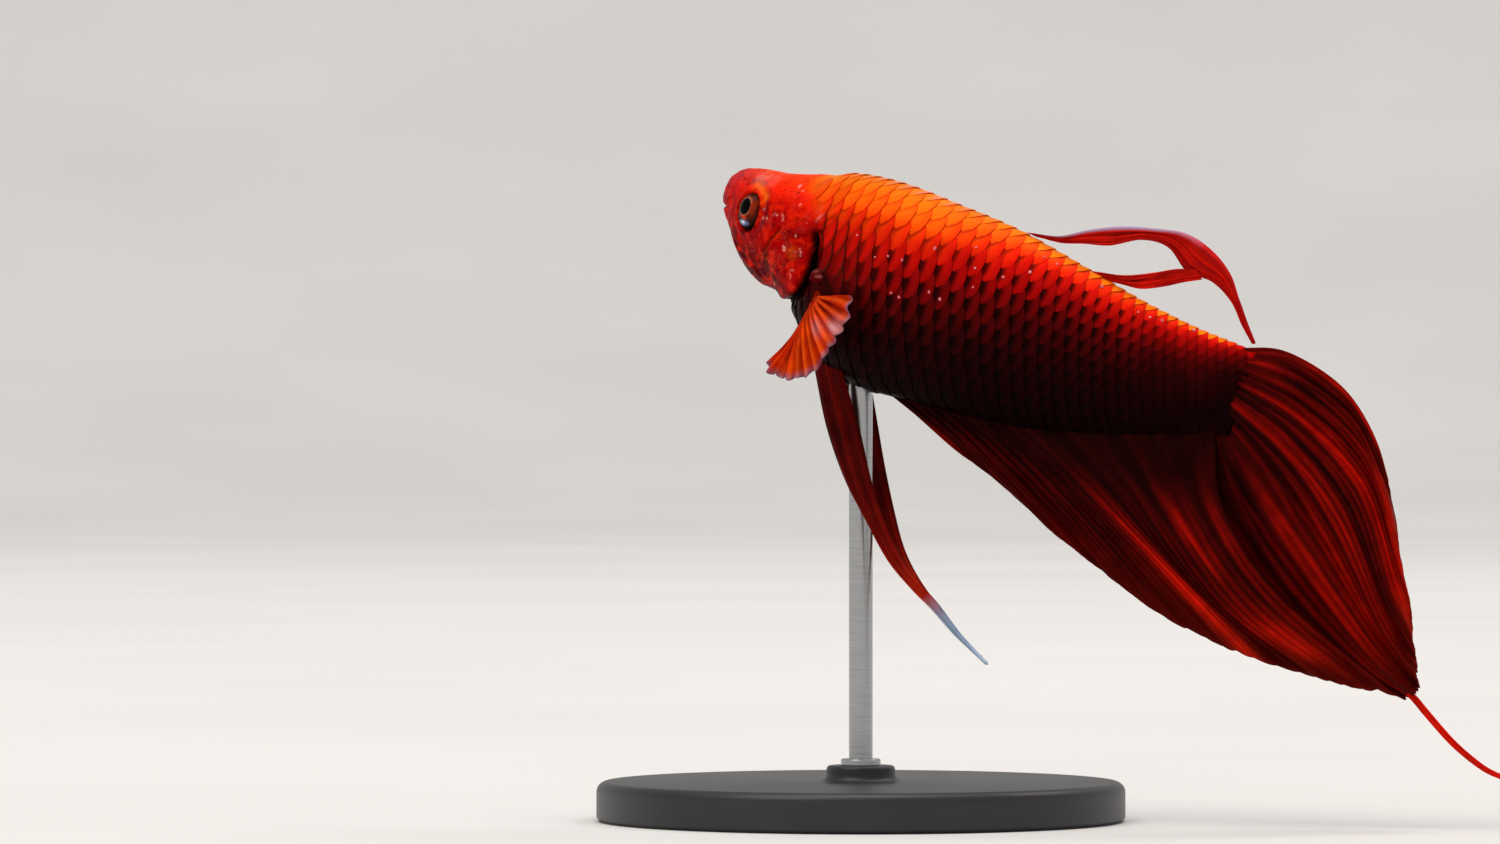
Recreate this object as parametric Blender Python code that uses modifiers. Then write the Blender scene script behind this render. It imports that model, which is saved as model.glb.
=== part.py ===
# A male veiltail betta, life size, swimming with its body gently bent and its nose up,
# held on a turned display stand. Metres, +Z up, tail towards +X, left side towards -Y.
# The origin is the middle of the stand's underside.
import math

import bmesh
import bpy
from mathutils import Matrix
from mathutils import Vector

mm = 0.001

# Driving dimensions, in millimetres and degrees.
BEND_SPAN = 48.0        # length of the spine that carries the bend, from the snout back
NOSE_PITCH = 18.0       # how far the nose points up
NOSE_YAW = 16.0         # yaw of the spine at the snout, the tail's is the opposite
SNOUT_HEIGHT = 46.9     # middle of the snout above the floor
SNOUT_FRONT = 0.35      # foremost point of the lips on the spine's scale
HEAD_END = 12.95        # where the head meets the trunk
TRUNK_CUT = 29.0        # between the two lengths of the trunk
TAIL_CUT = 40.0         # between the trunk and the tail root
BODY_END = 46.0         # end of the fleshy tail root
GAP = 0.3               # clearance between neighbouring solids
FIN_ROOT = 0.8          # fin thickness at the body
FIN_EDGE = 0.52         # fin thickness at the margin
RING_SIDES = 32         # faces round the body

ROD_STATION = 17.4      # where the rod enters the belly, along the spine
ROD_RADIUS = 0.9
ROD_DEPTH = 1.6         # how far the rod goes into the belly
BASE_RADIUS = 20.0
BASE_HEIGHT = 3.0
BASE_CORNER = 0.8       # rounding of the base's upper rim
BOSS_RADIUS = 2.6
BOSS_HEIGHT = 4.2
BOSS_FOOT = 0.6         # how far the boss flares out at its foot
CHAMFER = 0.3           # on the boss's top and the base's lower edge
SOCKET_FLOOR = 1.0

# Body sections: station on the spine, back, belly, half width, height of the widest place.
SECTIONS = [
    (0.35, 0.95, 0.85, 0.05, 0.90),
    (0.6, 2.50, 0.05, 0.90, 0.95),
    (1.1, 3.10, -0.80, 1.33, 0.80),
    (2.1, 3.50, -2.10, 1.75, 0.70),
    (3.6, 3.85, -3.45, 2.45, 0.60),
    (5.7, 4.18, -4.55, 3.05, 0.50),
    (8.5, 4.95, -4.85, 3.60, 0.50),
    (10.3, 5.55, -5.90, 3.90, 0.55),
    (12.0, 6.10, -7.70, 4.05, 0.65),
    (14.0, 6.45, -9.05, 4.12, 0.80),
    (16.5, 6.65, -9.45, 4.10, 0.90),
    (21.0, 6.55, -8.95, 3.90, 0.90),
    (27.0, 6.20, -8.45, 3.45, 0.80),
    (33.0, 5.15, -7.60, 2.75, 0.50),
    (39.0, 4.00, -6.00, 2.00, 0.10),
    (43.0, 3.50, -4.75, 1.40, -0.10),
    (46.0, 3.30, -3.90, 0.80, -0.20),
]

# Each fin is a few key rays from front to rear, each a row of places from root to tip:
# station on the spine, distance from the middle plane (left is minus), height.
DORSAL_FRONT = [
    [(27.9, 0, 6.5), (30.2, 0, 6.75), (32.4, 0, 8.0), (34.6, 0, 8.95), (36.9, 0.1, 9.5), (39.4, 0.2, 9.9),
     (41.6, 0.4, 9.3), (43.4, 0.6, 8.1), (44.6, 0.8, 6.5), (45.8, 0.9, 4.9), (46.6, 0.9, 4.0)],
    [(28.6, 0, 6.35), (30.4, 0, 6.3), (32.2, 0, 6.8), (34.2, 0, 7.3), (36.2, 0.1, 8.4), (38.4, 0.2, 8.5),
     (40.3, 0.4, 7.2), (42.3, 0.6, 7.05), (44.1, 0.8, 6.1), (45.3, 0.9, 4.9), (46.2, 0.9, 3.9)],
]
DORSAL_REAR = [
    [(34.3, 0, 5.3), (36.2, -0.1, 5.5), (38.1, -0.1, 6.3), (39.5, 0, 6.9)],
    [(35.7, 0, 4.95), (37.2, -0.1, 4.9), (38.9, -0.1, 5.6), (40.4, 0, 6.4)],
]
CAUDAL = [
    [(46.3, 0, 3.2), (49.2, 0.3, 3.9), (53.8, 0.6, 2.8), (57.1, 0.8, 0.3), (59.3, 1.0, -2.8)],
    [(46.3, 0, 1.5), (51.5, 0.2, 0.5), (57.6, 0.3, -2.6), (61.8, 0.3, -8.2), (63.8, 0.3, -11.0)],
    [(46.3, 0, -0.1), (51.7, -0.3, -2.2), (57.2, -0.5, -5.8), (62.2, 0, -11.9), (65.6, 0.4, -14.9)],
    [(46.3, 0, -1.8), (50.2, 0.5, -5.0), (55.1, 1.2, -8.9), (62.0, 1.2, -14.4), (66.4, 0.8, -16.9)],
    [(46.3, 0, -3.5), (47.4, 1.0, -9.2), (53.4, 1.8, -14.3), (60.6, 1.8, -17.1), (65.5, 1.2, -17.9)],
]
STREAMER = [(66.5, 0.9, -17.7), (67.6, 0.9, -18.4), (70.0, 1.2, -19.8), (72.4, 1.0, -20.7),
            (74.0, 0.6, -20.9), (75.4, 0.2, -20.8)]
ANAL = [
    [(19.7, 0, -9.5), (23.0, -0.2, -10.1), (26.6, -0.4, -11.0), (30.4, -0.6, -11.6)],
    [(25.5, 0, -9.0), (29.2, -0.2, -10.3), (33.1, -0.6, -12.2), (36.6, -0.9, -14.0)],
    [(31.5, 0, -8.2), (35.6, -0.2, -10.3), (40.7, -0.4, -14.2), (45.3, -0.6, -17.2)],
    [(37.0, 0, -7.0), (41.0, -0.5, -10.0), (46.2, -1.1, -14.4), (51.5, -1.5, -18.4)],
    [(41.8, 0, -5.6), (45.9, -0.6, -9.3), (51.2, -1.0, -14.4), (57.1, -1.3, -18.4)],
    [(45.5, -0.2, -4.5), (48.8, -1.2, -9.5), (54.9, -1.6, -13.5), (64.6, -1.5, -17.7)],
]
PELVIC_LEFT = [
    [(13.7, -1.4, -8.9), (16.6, -2.0, -12.7), (19.6, -2.3, -15.9), (22.4, -2.4, -18.2),
     (24.9, -2.3, -20.3), (27.1, -2.1, -21.6), (29.3, -1.8, -22.7), (32.2, -1.6, -24.3),
     (34.9, -1.4, -25.4)],
    [(17.0, -1.7, -8.9), (19.5, -2.0, -11.9), (21.9, -2.3, -15.3), (23.9, -2.4, -17.7),
     (26.0, -2.3, -19.8), (27.8, -2.1, -21.1), (29.8, -1.8, -22.2), (32.5, -1.6, -23.8),
     (35.1, -1.4, -24.9)],
]
PELVIC_RIGHT = [
    [(13.7, 1.4, -8.9), (15.5, 1.9, -13.0), (18.0, 2.1, -16.5), (20.3, 2.1, -19.0), (23.0, 1.9, -21.1),
     (25.4, 1.8, -22.5), (28.0, 1.6, -23.4), (30.7, 1.5, -24.9), (33.3, 1.3, -26.0)],
    [(17.0, 1.7, -8.9), (18.7, 1.9, -12.1), (20.2, 2.1, -14.9), (22.0, 2.1, -17.6), (23.9, 1.9, -19.9),
     (25.8, 1.8, -21.5), (28.2, 1.6, -22.9), (31.0, 1.5, -24.4), (33.5, 1.3, -25.5)],
]
PECTORAL = [
    [(13.7, 4.4, -3.0), (14.1, 4.7, -4.4), (13.8, 5.1, -6.5), (12.6, 5.5, -8.8)],
    [(13.9, 4.4, -3.0), (15.0, 4.9, -4.5), (15.3, 5.6, -6.6), (14.0, 5.9, -9.7)],
    [(14.0, 4.4, -2.9), (15.6, 5.0, -4.2), (16.6, 5.7, -6.1), (15.9, 6.1, -9.3)],
    [(14.1, 4.4, -2.8), (16.1, 5.0, -3.7), (17.4, 5.7, -5.1), (17.4, 6.2, -8.4)],
    [(14.2, 4.4, -2.6), (16.3, 4.9, -2.9), (17.6, 5.5, -4.0), (17.8, 5.9, -6.5)],
    [(14.3, 4.4, -2.4), (16.2, 4.8, -2.3), (17.5, 5.2, -2.7), (18.1, 5.4, -3.5)],
    [(14.3, 4.4, -2.2), (15.5, 4.6, -1.9), (16.6, 4.9, -1.6), (17.5, 5.0, -1.8)],
]


def wipe_scene():
    for old in list(bpy.data.objects):
        bpy.data.objects.remove(old, do_unlink=True)


def new_collection(name):
    made = bpy.data.collections.new(name)
    bpy.context.scene.collection.children.link(made)
    return made


wipe_scene()
PARTS = new_collection("betta_fish")
CUTTERS = new_collection("cutters")


# The spine: an arc in plan, sloping evenly down towards the tail.

def spine_frame(station):
    """Point on the spine, with the directions towards the tail, the right side and the back."""
    pitch = math.radians(NOSE_PITCH)
    start = math.radians(NOSE_YAW)
    turn = -2 * start
    share = min(station / BEND_SPAN, 1.0)
    yaw = start + turn * share
    reach = BEND_SPAN * math.cos(pitch) / turn
    point = Vector((reach * (math.sin(yaw) - math.sin(start)),
                    reach * (math.cos(yaw) - math.cos(start)),
                    -BEND_SPAN * math.sin(pitch) * share))
    back = Vector((math.cos(yaw) * math.cos(pitch), -math.sin(yaw) * math.cos(pitch), -math.sin(pitch)))
    right = Vector((math.sin(yaw), math.cos(yaw), 0))
    up = Vector((math.cos(yaw) * math.sin(pitch), -math.sin(yaw) * math.sin(pitch), math.cos(pitch)))
    beyond = max(station - BEND_SPAN, 0.0)
    return point + beyond * back, back, right, up


def body_point(station, side, height):
    """A place in the fish's own measures, still in millimetres from the snout."""
    point, _, right, up = spine_frame(station)
    return point + side * right + height * up


def hermite(rows, key, value):
    """Smooth curve through rows, whose first column is the key."""
    last = len(rows) - 2
    index = 0
    while index < last and rows[index + 1][0] < key:
        index += 1
    before = rows[max(index - 1, 0)]
    low = rows[index]
    high = rows[index + 1]
    after = rows[min(index + 2, len(rows) - 1)]
    width = high[0] - low[0]
    t = min(max((key - low[0]) / width, 0.0), 1.0)
    slope_low = (high[value] - before[value]) / (high[0] - before[0]) * width
    slope_high = (after[value] - low[value]) / (after[0] - low[0]) * width
    return ((2 * t ** 3 - 3 * t ** 2 + 1) * low[value] + (t ** 3 - 2 * t ** 2 + t) * slope_low
            + (3 * t ** 2 - 2 * t ** 3) * high[value] + (t ** 3 - t ** 2) * slope_high)


def root_distance(station):
    """Square root scale from the snout, which makes the nose blunt."""
    return math.sqrt(max(station - SNOUT_FRONT, 0.0))


ROOT_ROWS = [(root_distance(row[0]),) + row[1:] for row in SECTIONS]


def section(station):
    key = root_distance(station)
    return [hermite(ROOT_ROWS, key, column) for column in range(1, 5)]


def skin_point(station, angle, lift=0.0):
    """Point of the body's surface. Angle 0 is the right side, 90 degrees the back."""
    top, bottom, half, middle = section(station)
    across = math.cos(angle)
    rise = math.sin(angle)
    keel = 1.0 if rise > 0 else 1.0 + 0.25 * min(max(station / BODY_END, 0.0), 1.0)
    side = half * math.copysign(abs(across) ** keel, across)
    height = middle + rise * ((top - middle) if rise > 0 else (middle - bottom))
    outward = Vector((across * (top - bottom) / 2, rise * half)).normalized()
    return body_point(station, side + lift * outward.x, height + lift * outward.y)


def belly_height(station, side):
    """Height of the underside at a distance from the middle plane."""
    _, bottom, half, middle = section(station)
    keel = 1.0 + 0.25 * station / BODY_END
    across = (abs(side) / half) ** (1 / keel)
    return middle - (middle - bottom) * math.sqrt(max(1 - across ** 2, 0.0))


# The world's origin lies under the rod, on the floor.
ROD_TOP = body_point(ROD_STATION, 0, section(ROD_STATION)[1])
SHIFT = Vector((-ROD_TOP.x, -ROD_TOP.y, SNOUT_HEIGHT))


def to_world(point):
    return (point + SHIFT) * mm


def material(name, colour, roughness, metallic=0.0):
    made = bpy.data.materials.new(name)
    made.use_nodes = True
    shader = made.node_tree.nodes["Principled BSDF"]
    shader.inputs["Base Color"].default_value = (*colour, 1)
    shader.inputs["Roughness"].default_value = roughness
    shader.inputs["Metallic"].default_value = metallic
    return made


def add_mesh(name, points, faces, finish, collection=None):
    mesh = bpy.data.meshes.new(name)
    mesh.from_pydata([to_world(point) for point in points], [], faces)
    made = bpy.data.objects.new(name, mesh)
    (collection or PARTS).objects.link(made)
    work = bmesh.new()
    work.from_mesh(mesh)
    bmesh.ops.recalc_face_normals(work, faces=work.faces)
    work.to_mesh(mesh)
    work.free()
    mesh.materials.append(material(name + "_finish", *finish))
    mesh.shade_smooth()
    mesh.set_sharp_from_angle(angle=math.radians(50))
    return made


def loft(name, stations, finish, round_front=False):
    """Closed length of the body through rings at the given stations."""
    points = []
    faces = []
    for station in stations:
        points += [skin_point(station, 2 * math.pi * k / RING_SIDES) for k in range(RING_SIDES)]
    for ring in range(len(stations) - 1):
        start = ring * RING_SIDES
        for k in range(RING_SIDES):
            after = (k + 1) % RING_SIDES
            faces.append((start + k, start + after, start + RING_SIDES + after, start + RING_SIDES + k))
    if round_front:
        tip = len(points)
        points.append(body_point(SNOUT_FRONT, 0, section(SNOUT_FRONT)[3]))
        faces += [(tip, (k + 1) % RING_SIDES, k) for k in range(RING_SIDES)]
    else:
        faces.append(tuple(range(RING_SIDES)))
    start = len(points) - RING_SIDES - (1 if round_front else 0)
    faces.append(tuple(start + k for k in reversed(range(RING_SIDES))))
    return add_mesh(name, points, faces, finish)


def spread(first, last, count):
    return [first + (last - first) * k / (count - 1) for k in range(count)]


def nose_spread(last, count):
    """Stations that crowd towards the snout."""
    step = root_distance(last) / count
    return [SNOUT_FRONT + (step * (k + 1)) ** 2 for k in range(count)]


def two_sided(name, outer, inner, columns, rows, finish, collection=None):
    """Closed plate between two surfaces, each a function of u and v from 0 to 1."""
    points = []
    for surface in (outer, inner):
        for j in range(rows + 1):
            points += [surface(i / columns, j / rows) for i in range(columns + 1)]
    wide = columns + 1
    far = wide * (rows + 1)
    faces = []
    for j in range(rows):
        for i in range(columns):
            a = j * wide + i
            faces.append((a, a + 1, a + wide + 1, a + wide))
            faces.append((far + a, far + a + wide, far + a + wide + 1, far + a + 1))
    rim = [i for i in range(columns)]
    rim += [j * wide + columns for j in range(rows)]
    rim += [rows * wide + columns - i for i in range(columns)]
    rim += [(rows - j) * wide for j in range(rows)]
    for index, a in enumerate(rim):
        b = rim[(index + 1) % len(rim)]
        faces.append((b, a, far + a, far + b))
    return add_mesh(name, points, faces, finish, collection)


def through(points, share):
    """Smooth curve through evenly spread points, share from 0 to 1."""
    last = len(points) - 1
    place = min(max(share, 0.0), 1.0) * last
    index = min(int(place), last - 1)
    t = place - index
    low = points[index]
    high = points[index + 1]
    before = points[index - 1] if index > 0 else 2 * low - high
    after = points[index + 2] if index + 2 <= last else 2 * high - low
    return 0.5 * (2 * low + t * (high - before) + t ** 2 * (2 * before - 5 * low + 4 * high - after)
                  + t ** 3 * (3 * low - 3 * high + after - before))


def fin_place(rays, u, v):
    """Place on a fin, u across the rays and v out along them, in the fish's own measures."""
    return through([through([Vector(place) for place in ray], v) for ray in rays], u)


def fin(name, rays, columns, rows, finish, mirror=1, folds=0, depth=0.0, scallops=0, notch=0.0):
    """Fin of key rays, pleated and scalloped towards its margin."""
    def middle(u, v):
        reach = v * (1 - notch * abs(math.sin(math.pi * scallops * u)) * v ** 3)
        station, side, height = fin_place(rays, u, reach)
        side += depth * v * math.sin(2 * math.pi * folds * u)
        return body_point(station, mirror * side, height)

    def face(sign):
        def surface(u, v):
            tiny = 0.02
            along = middle(u, min(v + tiny, 1)) - middle(u, max(v - tiny, 0))
            across = middle(min(u + tiny, 1), v) - middle(max(u - tiny, 0), v)
            normal = across.cross(along).normalized()
            thickness = FIN_ROOT + (FIN_EDGE - FIN_ROOT) * min(3 * v, 1)
            return middle(u, v) + sign * mirror * normal * thickness / 2
        return surface

    return two_sided(name, face(1), face(-1), columns, rows, finish)


def hide_cutter(cutter):
    cutter.hide_render = True
    cutter.display_type = "WIRE"


def subtract(target, cutter):
    cut = target.modifiers.new("cut_" + cutter.name, "BOOLEAN")
    cut.operation = "DIFFERENCE"
    cut.solver = "EXACT"
    cut.object = cutter
    hide_cutter(cutter)


def ball(name, place, radii, tilt, yaw, finish, collection=None):
    """Ellipsoid with radii along the body, across it and up, tilted about its width, turned by yaw."""
    mesh = bpy.data.meshes.new(name)
    work = bmesh.new()
    bmesh.ops.create_uvsphere(work, u_segments=16, v_segments=8, radius=1.0)
    _, back, right, up = spine_frame(place[0])
    axes = Matrix((back, right, up)).transposed() @ Matrix.Rotation(yaw, 3, "Z") @ Matrix.Rotation(tilt, 3, "Y")
    scale = Matrix.Diagonal([radius * mm for radius in radii])
    bmesh.ops.rotate(work, verts=work.verts, matrix=Matrix.Rotation(math.pi / 2, 3, "X"))
    bmesh.ops.transform(work, verts=work.verts, matrix=(axes @ scale).to_4x4())
    bmesh.ops.translate(work, verts=work.verts, vec=to_world(body_point(*place)))
    work.to_mesh(mesh)
    work.free()
    mesh.materials.append(material(name + "_finish", *finish))
    mesh.shade_smooth()
    made = bpy.data.objects.new(name, mesh)
    (collection or PARTS).objects.link(made)
    return made


RED = ((0.55, 0.02, 0.01), 0.45)
ORANGE = ((0.85, 0.13, 0.01), 0.45)
LIP = ((0.45, 0.09, 0.09), 0.5)
FIN_RED = ((0.30, 0.005, 0.004), 0.5)
EYE = ((0.02, 0.015, 0.015), 0.15)
STAND = ((0.03, 0.03, 0.035), 0.5)
STEEL = ((0.6, 0.6, 0.6), 0.3, 1.0)

# Head, cut for the mouth, the eyes and the gill covers.

EYE_PLACE = (5.0, 2.45, 0.75)
EYE_RADII = (1.3, 0.75, 1.4)
EYE_YAW = math.radians(15)
GILL_DEPTH = 0.65
GILL_FLARE = 0.3
GILL_TOP = 32.0         # the cover's upper edge, in degrees above the side
GILL_ARC = 94.0         # degrees from there down to its lower edge
GILL_FRONT = 7.4        # foremost station of its front edge
GILL_REAR = 12.6        # rearmost station of its rear edge


def gill_rear(angle):
    return GILL_REAR - 2.7 * abs((angle - 5) / 60) ** 3


def gill_front(angle):
    return GILL_FRONT + 0.9 * ((angle + 10) / 60) ** 2


def gill_surface(side, lift, grow):
    """Cheek plate's surface on one side, lifted off the body and grown past its edges."""
    def surface(u, v):
        widen = 5 * grow
        angle = GILL_TOP + widen - v * (GILL_ARC + 2 * widen)
        front = gill_front(angle) - grow
        rear = gill_rear(angle) + grow
        station = front + u * (rear - front)
        turn = math.radians(angle if side > 0 else 180 - angle)
        return skin_point(station, turn, lift + GILL_FLARE * u ** 2)
    return surface


def build_head():
    head = loft("head", nose_spread(HEAD_END, 15), RED, round_front=True)
    mouth = ball("mouth_cutter", (0.2, 0, 0.1), (1.5, 1.9, 0.15), math.radians(14), 0, LIP, CUTTERS)
    subtract(head, mouth)
    for word, side in (("left", -1), ("right", 1)):
        place = (EYE_PLACE[0], side * EYE_PLACE[1], EYE_PLACE[2])
        ball("eye_" + word, place, EYE_RADII, 0, side * EYE_YAW, EYE)
        grown = [radius + GAP for radius in EYE_RADII]
        subtract(head, ball("socket_" + word, place, grown, 0, side * EYE_YAW, EYE, CUTTERS))
        cover = [gill_surface(side, 0.0, 0), gill_surface(side, -GILL_DEPTH, 0)]
        two_sided("gill_cover_" + word, cover[0], cover[1], 6, 10, RED)
        room = [gill_surface(side, 1.0, GAP), gill_surface(side, -GILL_DEPTH - GAP, GAP)]
        subtract(head, two_sided("gill_room_" + word, room[0], room[1], 6, 10, RED, CUTTERS))


# Trunk in two lengths and the tail root, with a socket for the rod.

def build_trunk():
    front = loft("trunk_front", spread(HEAD_END + GAP, TRUNK_CUT, 11), ORANGE)
    loft("trunk_rear", spread(TRUNK_CUT + GAP, TAIL_CUT, 8), ORANGE)
    loft("tail_root", spread(TAIL_CUT + GAP, BODY_END, 5), RED)
    mesh = bpy.data.meshes.new("rod_socket")
    work = bmesh.new()
    deep = ROD_DEPTH + GAP
    bmesh.ops.create_cone(work, cap_ends=True, segments=24, radius1=(ROD_RADIUS + GAP) * mm,
                          radius2=(ROD_RADIUS + GAP) * mm, depth=2 * deep * mm)
    bmesh.ops.translate(work, verts=work.verts, vec=to_world(ROD_TOP))
    work.to_mesh(mesh)
    work.free()
    socket = bpy.data.objects.new("rod_socket", mesh)
    CUTTERS.objects.link(socket)
    subtract(front, socket)


def build_fins():
    fin("dorsal_fin_front", DORSAL_FRONT, 3, 20, FIN_RED)
    fin("dorsal_fin_rear", DORSAL_REAR, 3, 6, FIN_RED)
    fin("caudal_fin", CAUDAL, 20, 12, FIN_RED, folds=4.5, depth=0.4)
    fin("anal_fin", ANAL, 20, 9, FIN_RED, folds=4.5, depth=0.3)
    fin("pelvic_fin_left", PELVIC_LEFT, 2, 18, FIN_RED)
    fin("pelvic_fin_right", PELVIC_RIGHT, 2, 18, FIN_RED)
    for word, mirror in (("left", -1), ("right", 1)):
        fin("pectoral_fin_" + word, PECTORAL, 21, 5, ORANGE, mirror, scallops=7, notch=0.1)


def build_streamer():
    """The longest ray of the tail, as a thread."""
    curve = bpy.data.curves.new("caudal_streamer", "CURVE")
    curve.dimensions = "3D"
    curve.bevel_depth = 0.42 * mm
    curve.bevel_resolution = 2
    curve.use_fill_caps = True
    count = 12
    line = curve.splines.new("POLY")
    line.points.add(count - 1)
    places = [Vector(place) for place in STREAMER]
    for k in range(count):
        share = k / (count - 1)
        line.points[k].co = (*to_world(body_point(*through(places, share))), 1)
        line.points[k].radius = 1 - 0.35 * share
    curve.materials.append(material("caudal_streamer_finish", *FIN_RED))
    PARTS.objects.link(bpy.data.objects.new("caudal_streamer", curve))


def build_stand():
    profile = [(0, SOCKET_FLOOR), (ROD_RADIUS + GAP, SOCKET_FLOOR), (ROD_RADIUS + GAP, BOSS_HEIGHT),
               (BOSS_RADIUS - CHAMFER, BOSS_HEIGHT), (BOSS_RADIUS, BOSS_HEIGHT - CHAMFER),
               (BOSS_RADIUS + BOSS_FOOT / 4, BASE_HEIGHT + 2 * BOSS_FOOT / 3),
               (BOSS_RADIUS + BOSS_FOOT, BASE_HEIGHT)]
    steps = 3
    for k in range(steps + 1):
        angle = math.pi / 2 * k / steps
        profile.append((BASE_RADIUS - BASE_CORNER + BASE_CORNER * math.sin(angle),
                        BASE_HEIGHT - BASE_CORNER + BASE_CORNER * math.cos(angle)))
    profile += [(BASE_RADIUS, CHAMFER), (BASE_RADIUS - CHAMFER, 0), (0, 0)]
    mesh = bpy.data.meshes.new("stand_base")
    mesh.from_pydata([(x * mm, 0, z * mm) for x, z in profile],
                     [(k, k + 1) for k in range(len(profile) - 1)], [])
    base = bpy.data.objects.new("stand_base", mesh)
    PARTS.objects.link(base)
    turn = base.modifiers.new("turned", "SCREW")
    turn.steps = 40
    turn.render_steps = 40
    turn.use_merge_vertices = True
    turn.merge_threshold = 0.00001
    mesh.materials.append(material("stand_base_finish", *STAND))

    low = (SOCKET_FLOOR + GAP) * mm
    high = to_world(ROD_TOP).z + ROD_DEPTH * mm
    bpy.ops.mesh.primitive_cylinder_add(vertices=24, radius=ROD_RADIUS * mm, depth=high - low,
                                        location=(0, 0, (low + high) / 2))
    rod = bpy.context.object
    rod.name = "stand_rod"
    for holder in list(rod.users_collection):
        holder.objects.unlink(rod)
    PARTS.objects.link(rod)
    rod.data.materials.append(material("stand_rod_finish", *STEEL))


build_head()
build_trunk()
build_fins()
build_streamer()
build_stand()
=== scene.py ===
from functools import partial
import math

import bpy
import numpy as np
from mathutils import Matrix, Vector


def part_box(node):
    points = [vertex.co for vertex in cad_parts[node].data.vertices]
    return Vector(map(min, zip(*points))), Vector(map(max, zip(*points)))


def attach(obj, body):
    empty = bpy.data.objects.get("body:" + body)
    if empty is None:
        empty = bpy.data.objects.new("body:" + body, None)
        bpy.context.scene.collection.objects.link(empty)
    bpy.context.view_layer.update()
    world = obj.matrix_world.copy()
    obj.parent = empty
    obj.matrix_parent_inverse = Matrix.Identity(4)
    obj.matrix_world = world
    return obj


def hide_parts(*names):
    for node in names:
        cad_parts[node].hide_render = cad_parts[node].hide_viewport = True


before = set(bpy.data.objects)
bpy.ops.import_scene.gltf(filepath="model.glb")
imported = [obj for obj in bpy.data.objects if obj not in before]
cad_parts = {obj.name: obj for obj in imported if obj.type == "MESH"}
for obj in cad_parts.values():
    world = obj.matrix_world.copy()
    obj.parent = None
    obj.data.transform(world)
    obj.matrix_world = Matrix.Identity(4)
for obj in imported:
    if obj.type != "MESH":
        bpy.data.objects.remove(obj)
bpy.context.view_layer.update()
bpy.ops.object.select_all(action="DESELECT")
print("frame loaded")

mm = 0.001

# The fish is drawn in its own measures, in mm: the station along the spine from the snout, the side
# (left is minus) and the height above the spine.
spine = {"bendSpan": 48.0, "nosePitch": math.radians(18), "noseYaw": math.radians(16)}

# station, back, belly, half width, height of the widest place
bodySections = np.array([
    (0.35, 0.95, 0.85, 0.05, 0.90),
    (0.6, 2.50, 0.05, 0.90, 0.95),
    (1.1, 3.10, -0.80, 1.33, 0.80),
    (2.1, 3.50, -2.10, 1.75, 0.70),
    (3.6, 3.85, -3.45, 2.45, 0.60),
    (5.7, 4.18, -4.55, 3.05, 0.50),
    (8.5, 4.95, -4.85, 3.60, 0.50),
    (10.3, 5.55, -5.90, 3.90, 0.55),
    (12.0, 6.10, -7.70, 4.05, 0.65),
    (14.0, 6.45, -9.05, 4.12, 0.80),
    (16.5, 6.65, -9.45, 4.10, 0.90),
    (21.0, 6.55, -8.95, 3.90, 0.90),
    (27.0, 6.20, -8.45, 3.45, 0.80),
    (33.0, 5.15, -7.60, 2.75, 0.50),
    (39.0, 4.00, -6.00, 2.00, 0.10),
    (43.0, 3.50, -4.75, 1.40, -0.10),
    (46.0, 3.30, -3.90, 0.80, -0.20),
    (47.2, 3.15, -3.45, 0.10, -0.20),
])
snout = bodySections[0, 0]
bodyLength, bodyEnd = bodySections[-2:, 0]
sectionKeys = np.sqrt(bodySections[:, 0] - snout)
# how much flatter the flanks of the underside are at the tail root than at the snout
keelSharpness = 0.25


def smooth(low, high, value):
    t = np.clip((value - low) / (high - low), 0, 1)
    return t * t * (3 - 2 * t)


def hill(distance, width):
    return np.exp(-(distance / width) ** 2)


def hermite(keys, values, at):
    slopes = np.gradient(values, keys, axis=0)
    low = np.clip(np.searchsorted(keys, at) - 1, 0, len(keys) - 2)
    step = (keys[low + 1] - keys[low])[..., None]
    t = (at - keys[low])[..., None] / step
    rise = (2 * t ** 3 - 3 * t ** 2 + 1) * values[low] + (3 * t ** 2 - 2 * t ** 3) * values[low + 1]
    return rise + step * ((t ** 3 - 2 * t ** 2 + t) * slopes[low] + (t ** 3 - t ** 2) * slopes[low + 1])


def bodyPoint(station, side, height):
    pitch = spine["nosePitch"]
    turn = -2 * spine["noseYaw"]
    share = np.minimum(station / spine["bendSpan"], 1)
    yaw = spine["noseYaw"] + turn * share
    reach = spine["bendSpan"] * math.cos(pitch) / turn
    past = np.maximum(station - spine["bendSpan"], 0)
    level = past * math.cos(pitch) + height * math.sin(pitch)
    x = reach * (np.sin(yaw) - math.sin(spine["noseYaw"])) + np.cos(yaw) * level + np.sin(yaw) * side
    y = reach * (np.cos(yaw) - math.cos(spine["noseYaw"])) - np.sin(yaw) * level + np.cos(yaw) * side
    drop = (spine["bendSpan"] * share + past) * math.sin(pitch)
    z = height * math.cos(pitch) - drop
    return np.stack(np.broadcast_arrays(x, y, z), -1)


def skinCross(station, angle):
    # side and height of the skin at this angle round the spine, and the way out of it
    rows = hermite(sectionKeys, bodySections[:, 1:], np.sqrt(np.maximum(station - snout, 0)))
    back, belly, half, middle = np.moveaxis(rows, -1, 0)
    across, rise = np.cos(angle), np.sin(angle)
    keel = np.where(rise > 0, 1, 1 + keelSharpness * np.clip(station / bodyLength, 0, 1))
    side = half * np.sign(across) * np.abs(across) ** keel
    height = middle + rise * np.where(rise > 0, back - middle, middle - belly)
    outSide, outHeight = across * (back - belly) / 2, rise * half
    size = np.hypot(outSide, outHeight) + 1e-9
    return side, height, outSide / size, outHeight / size


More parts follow.
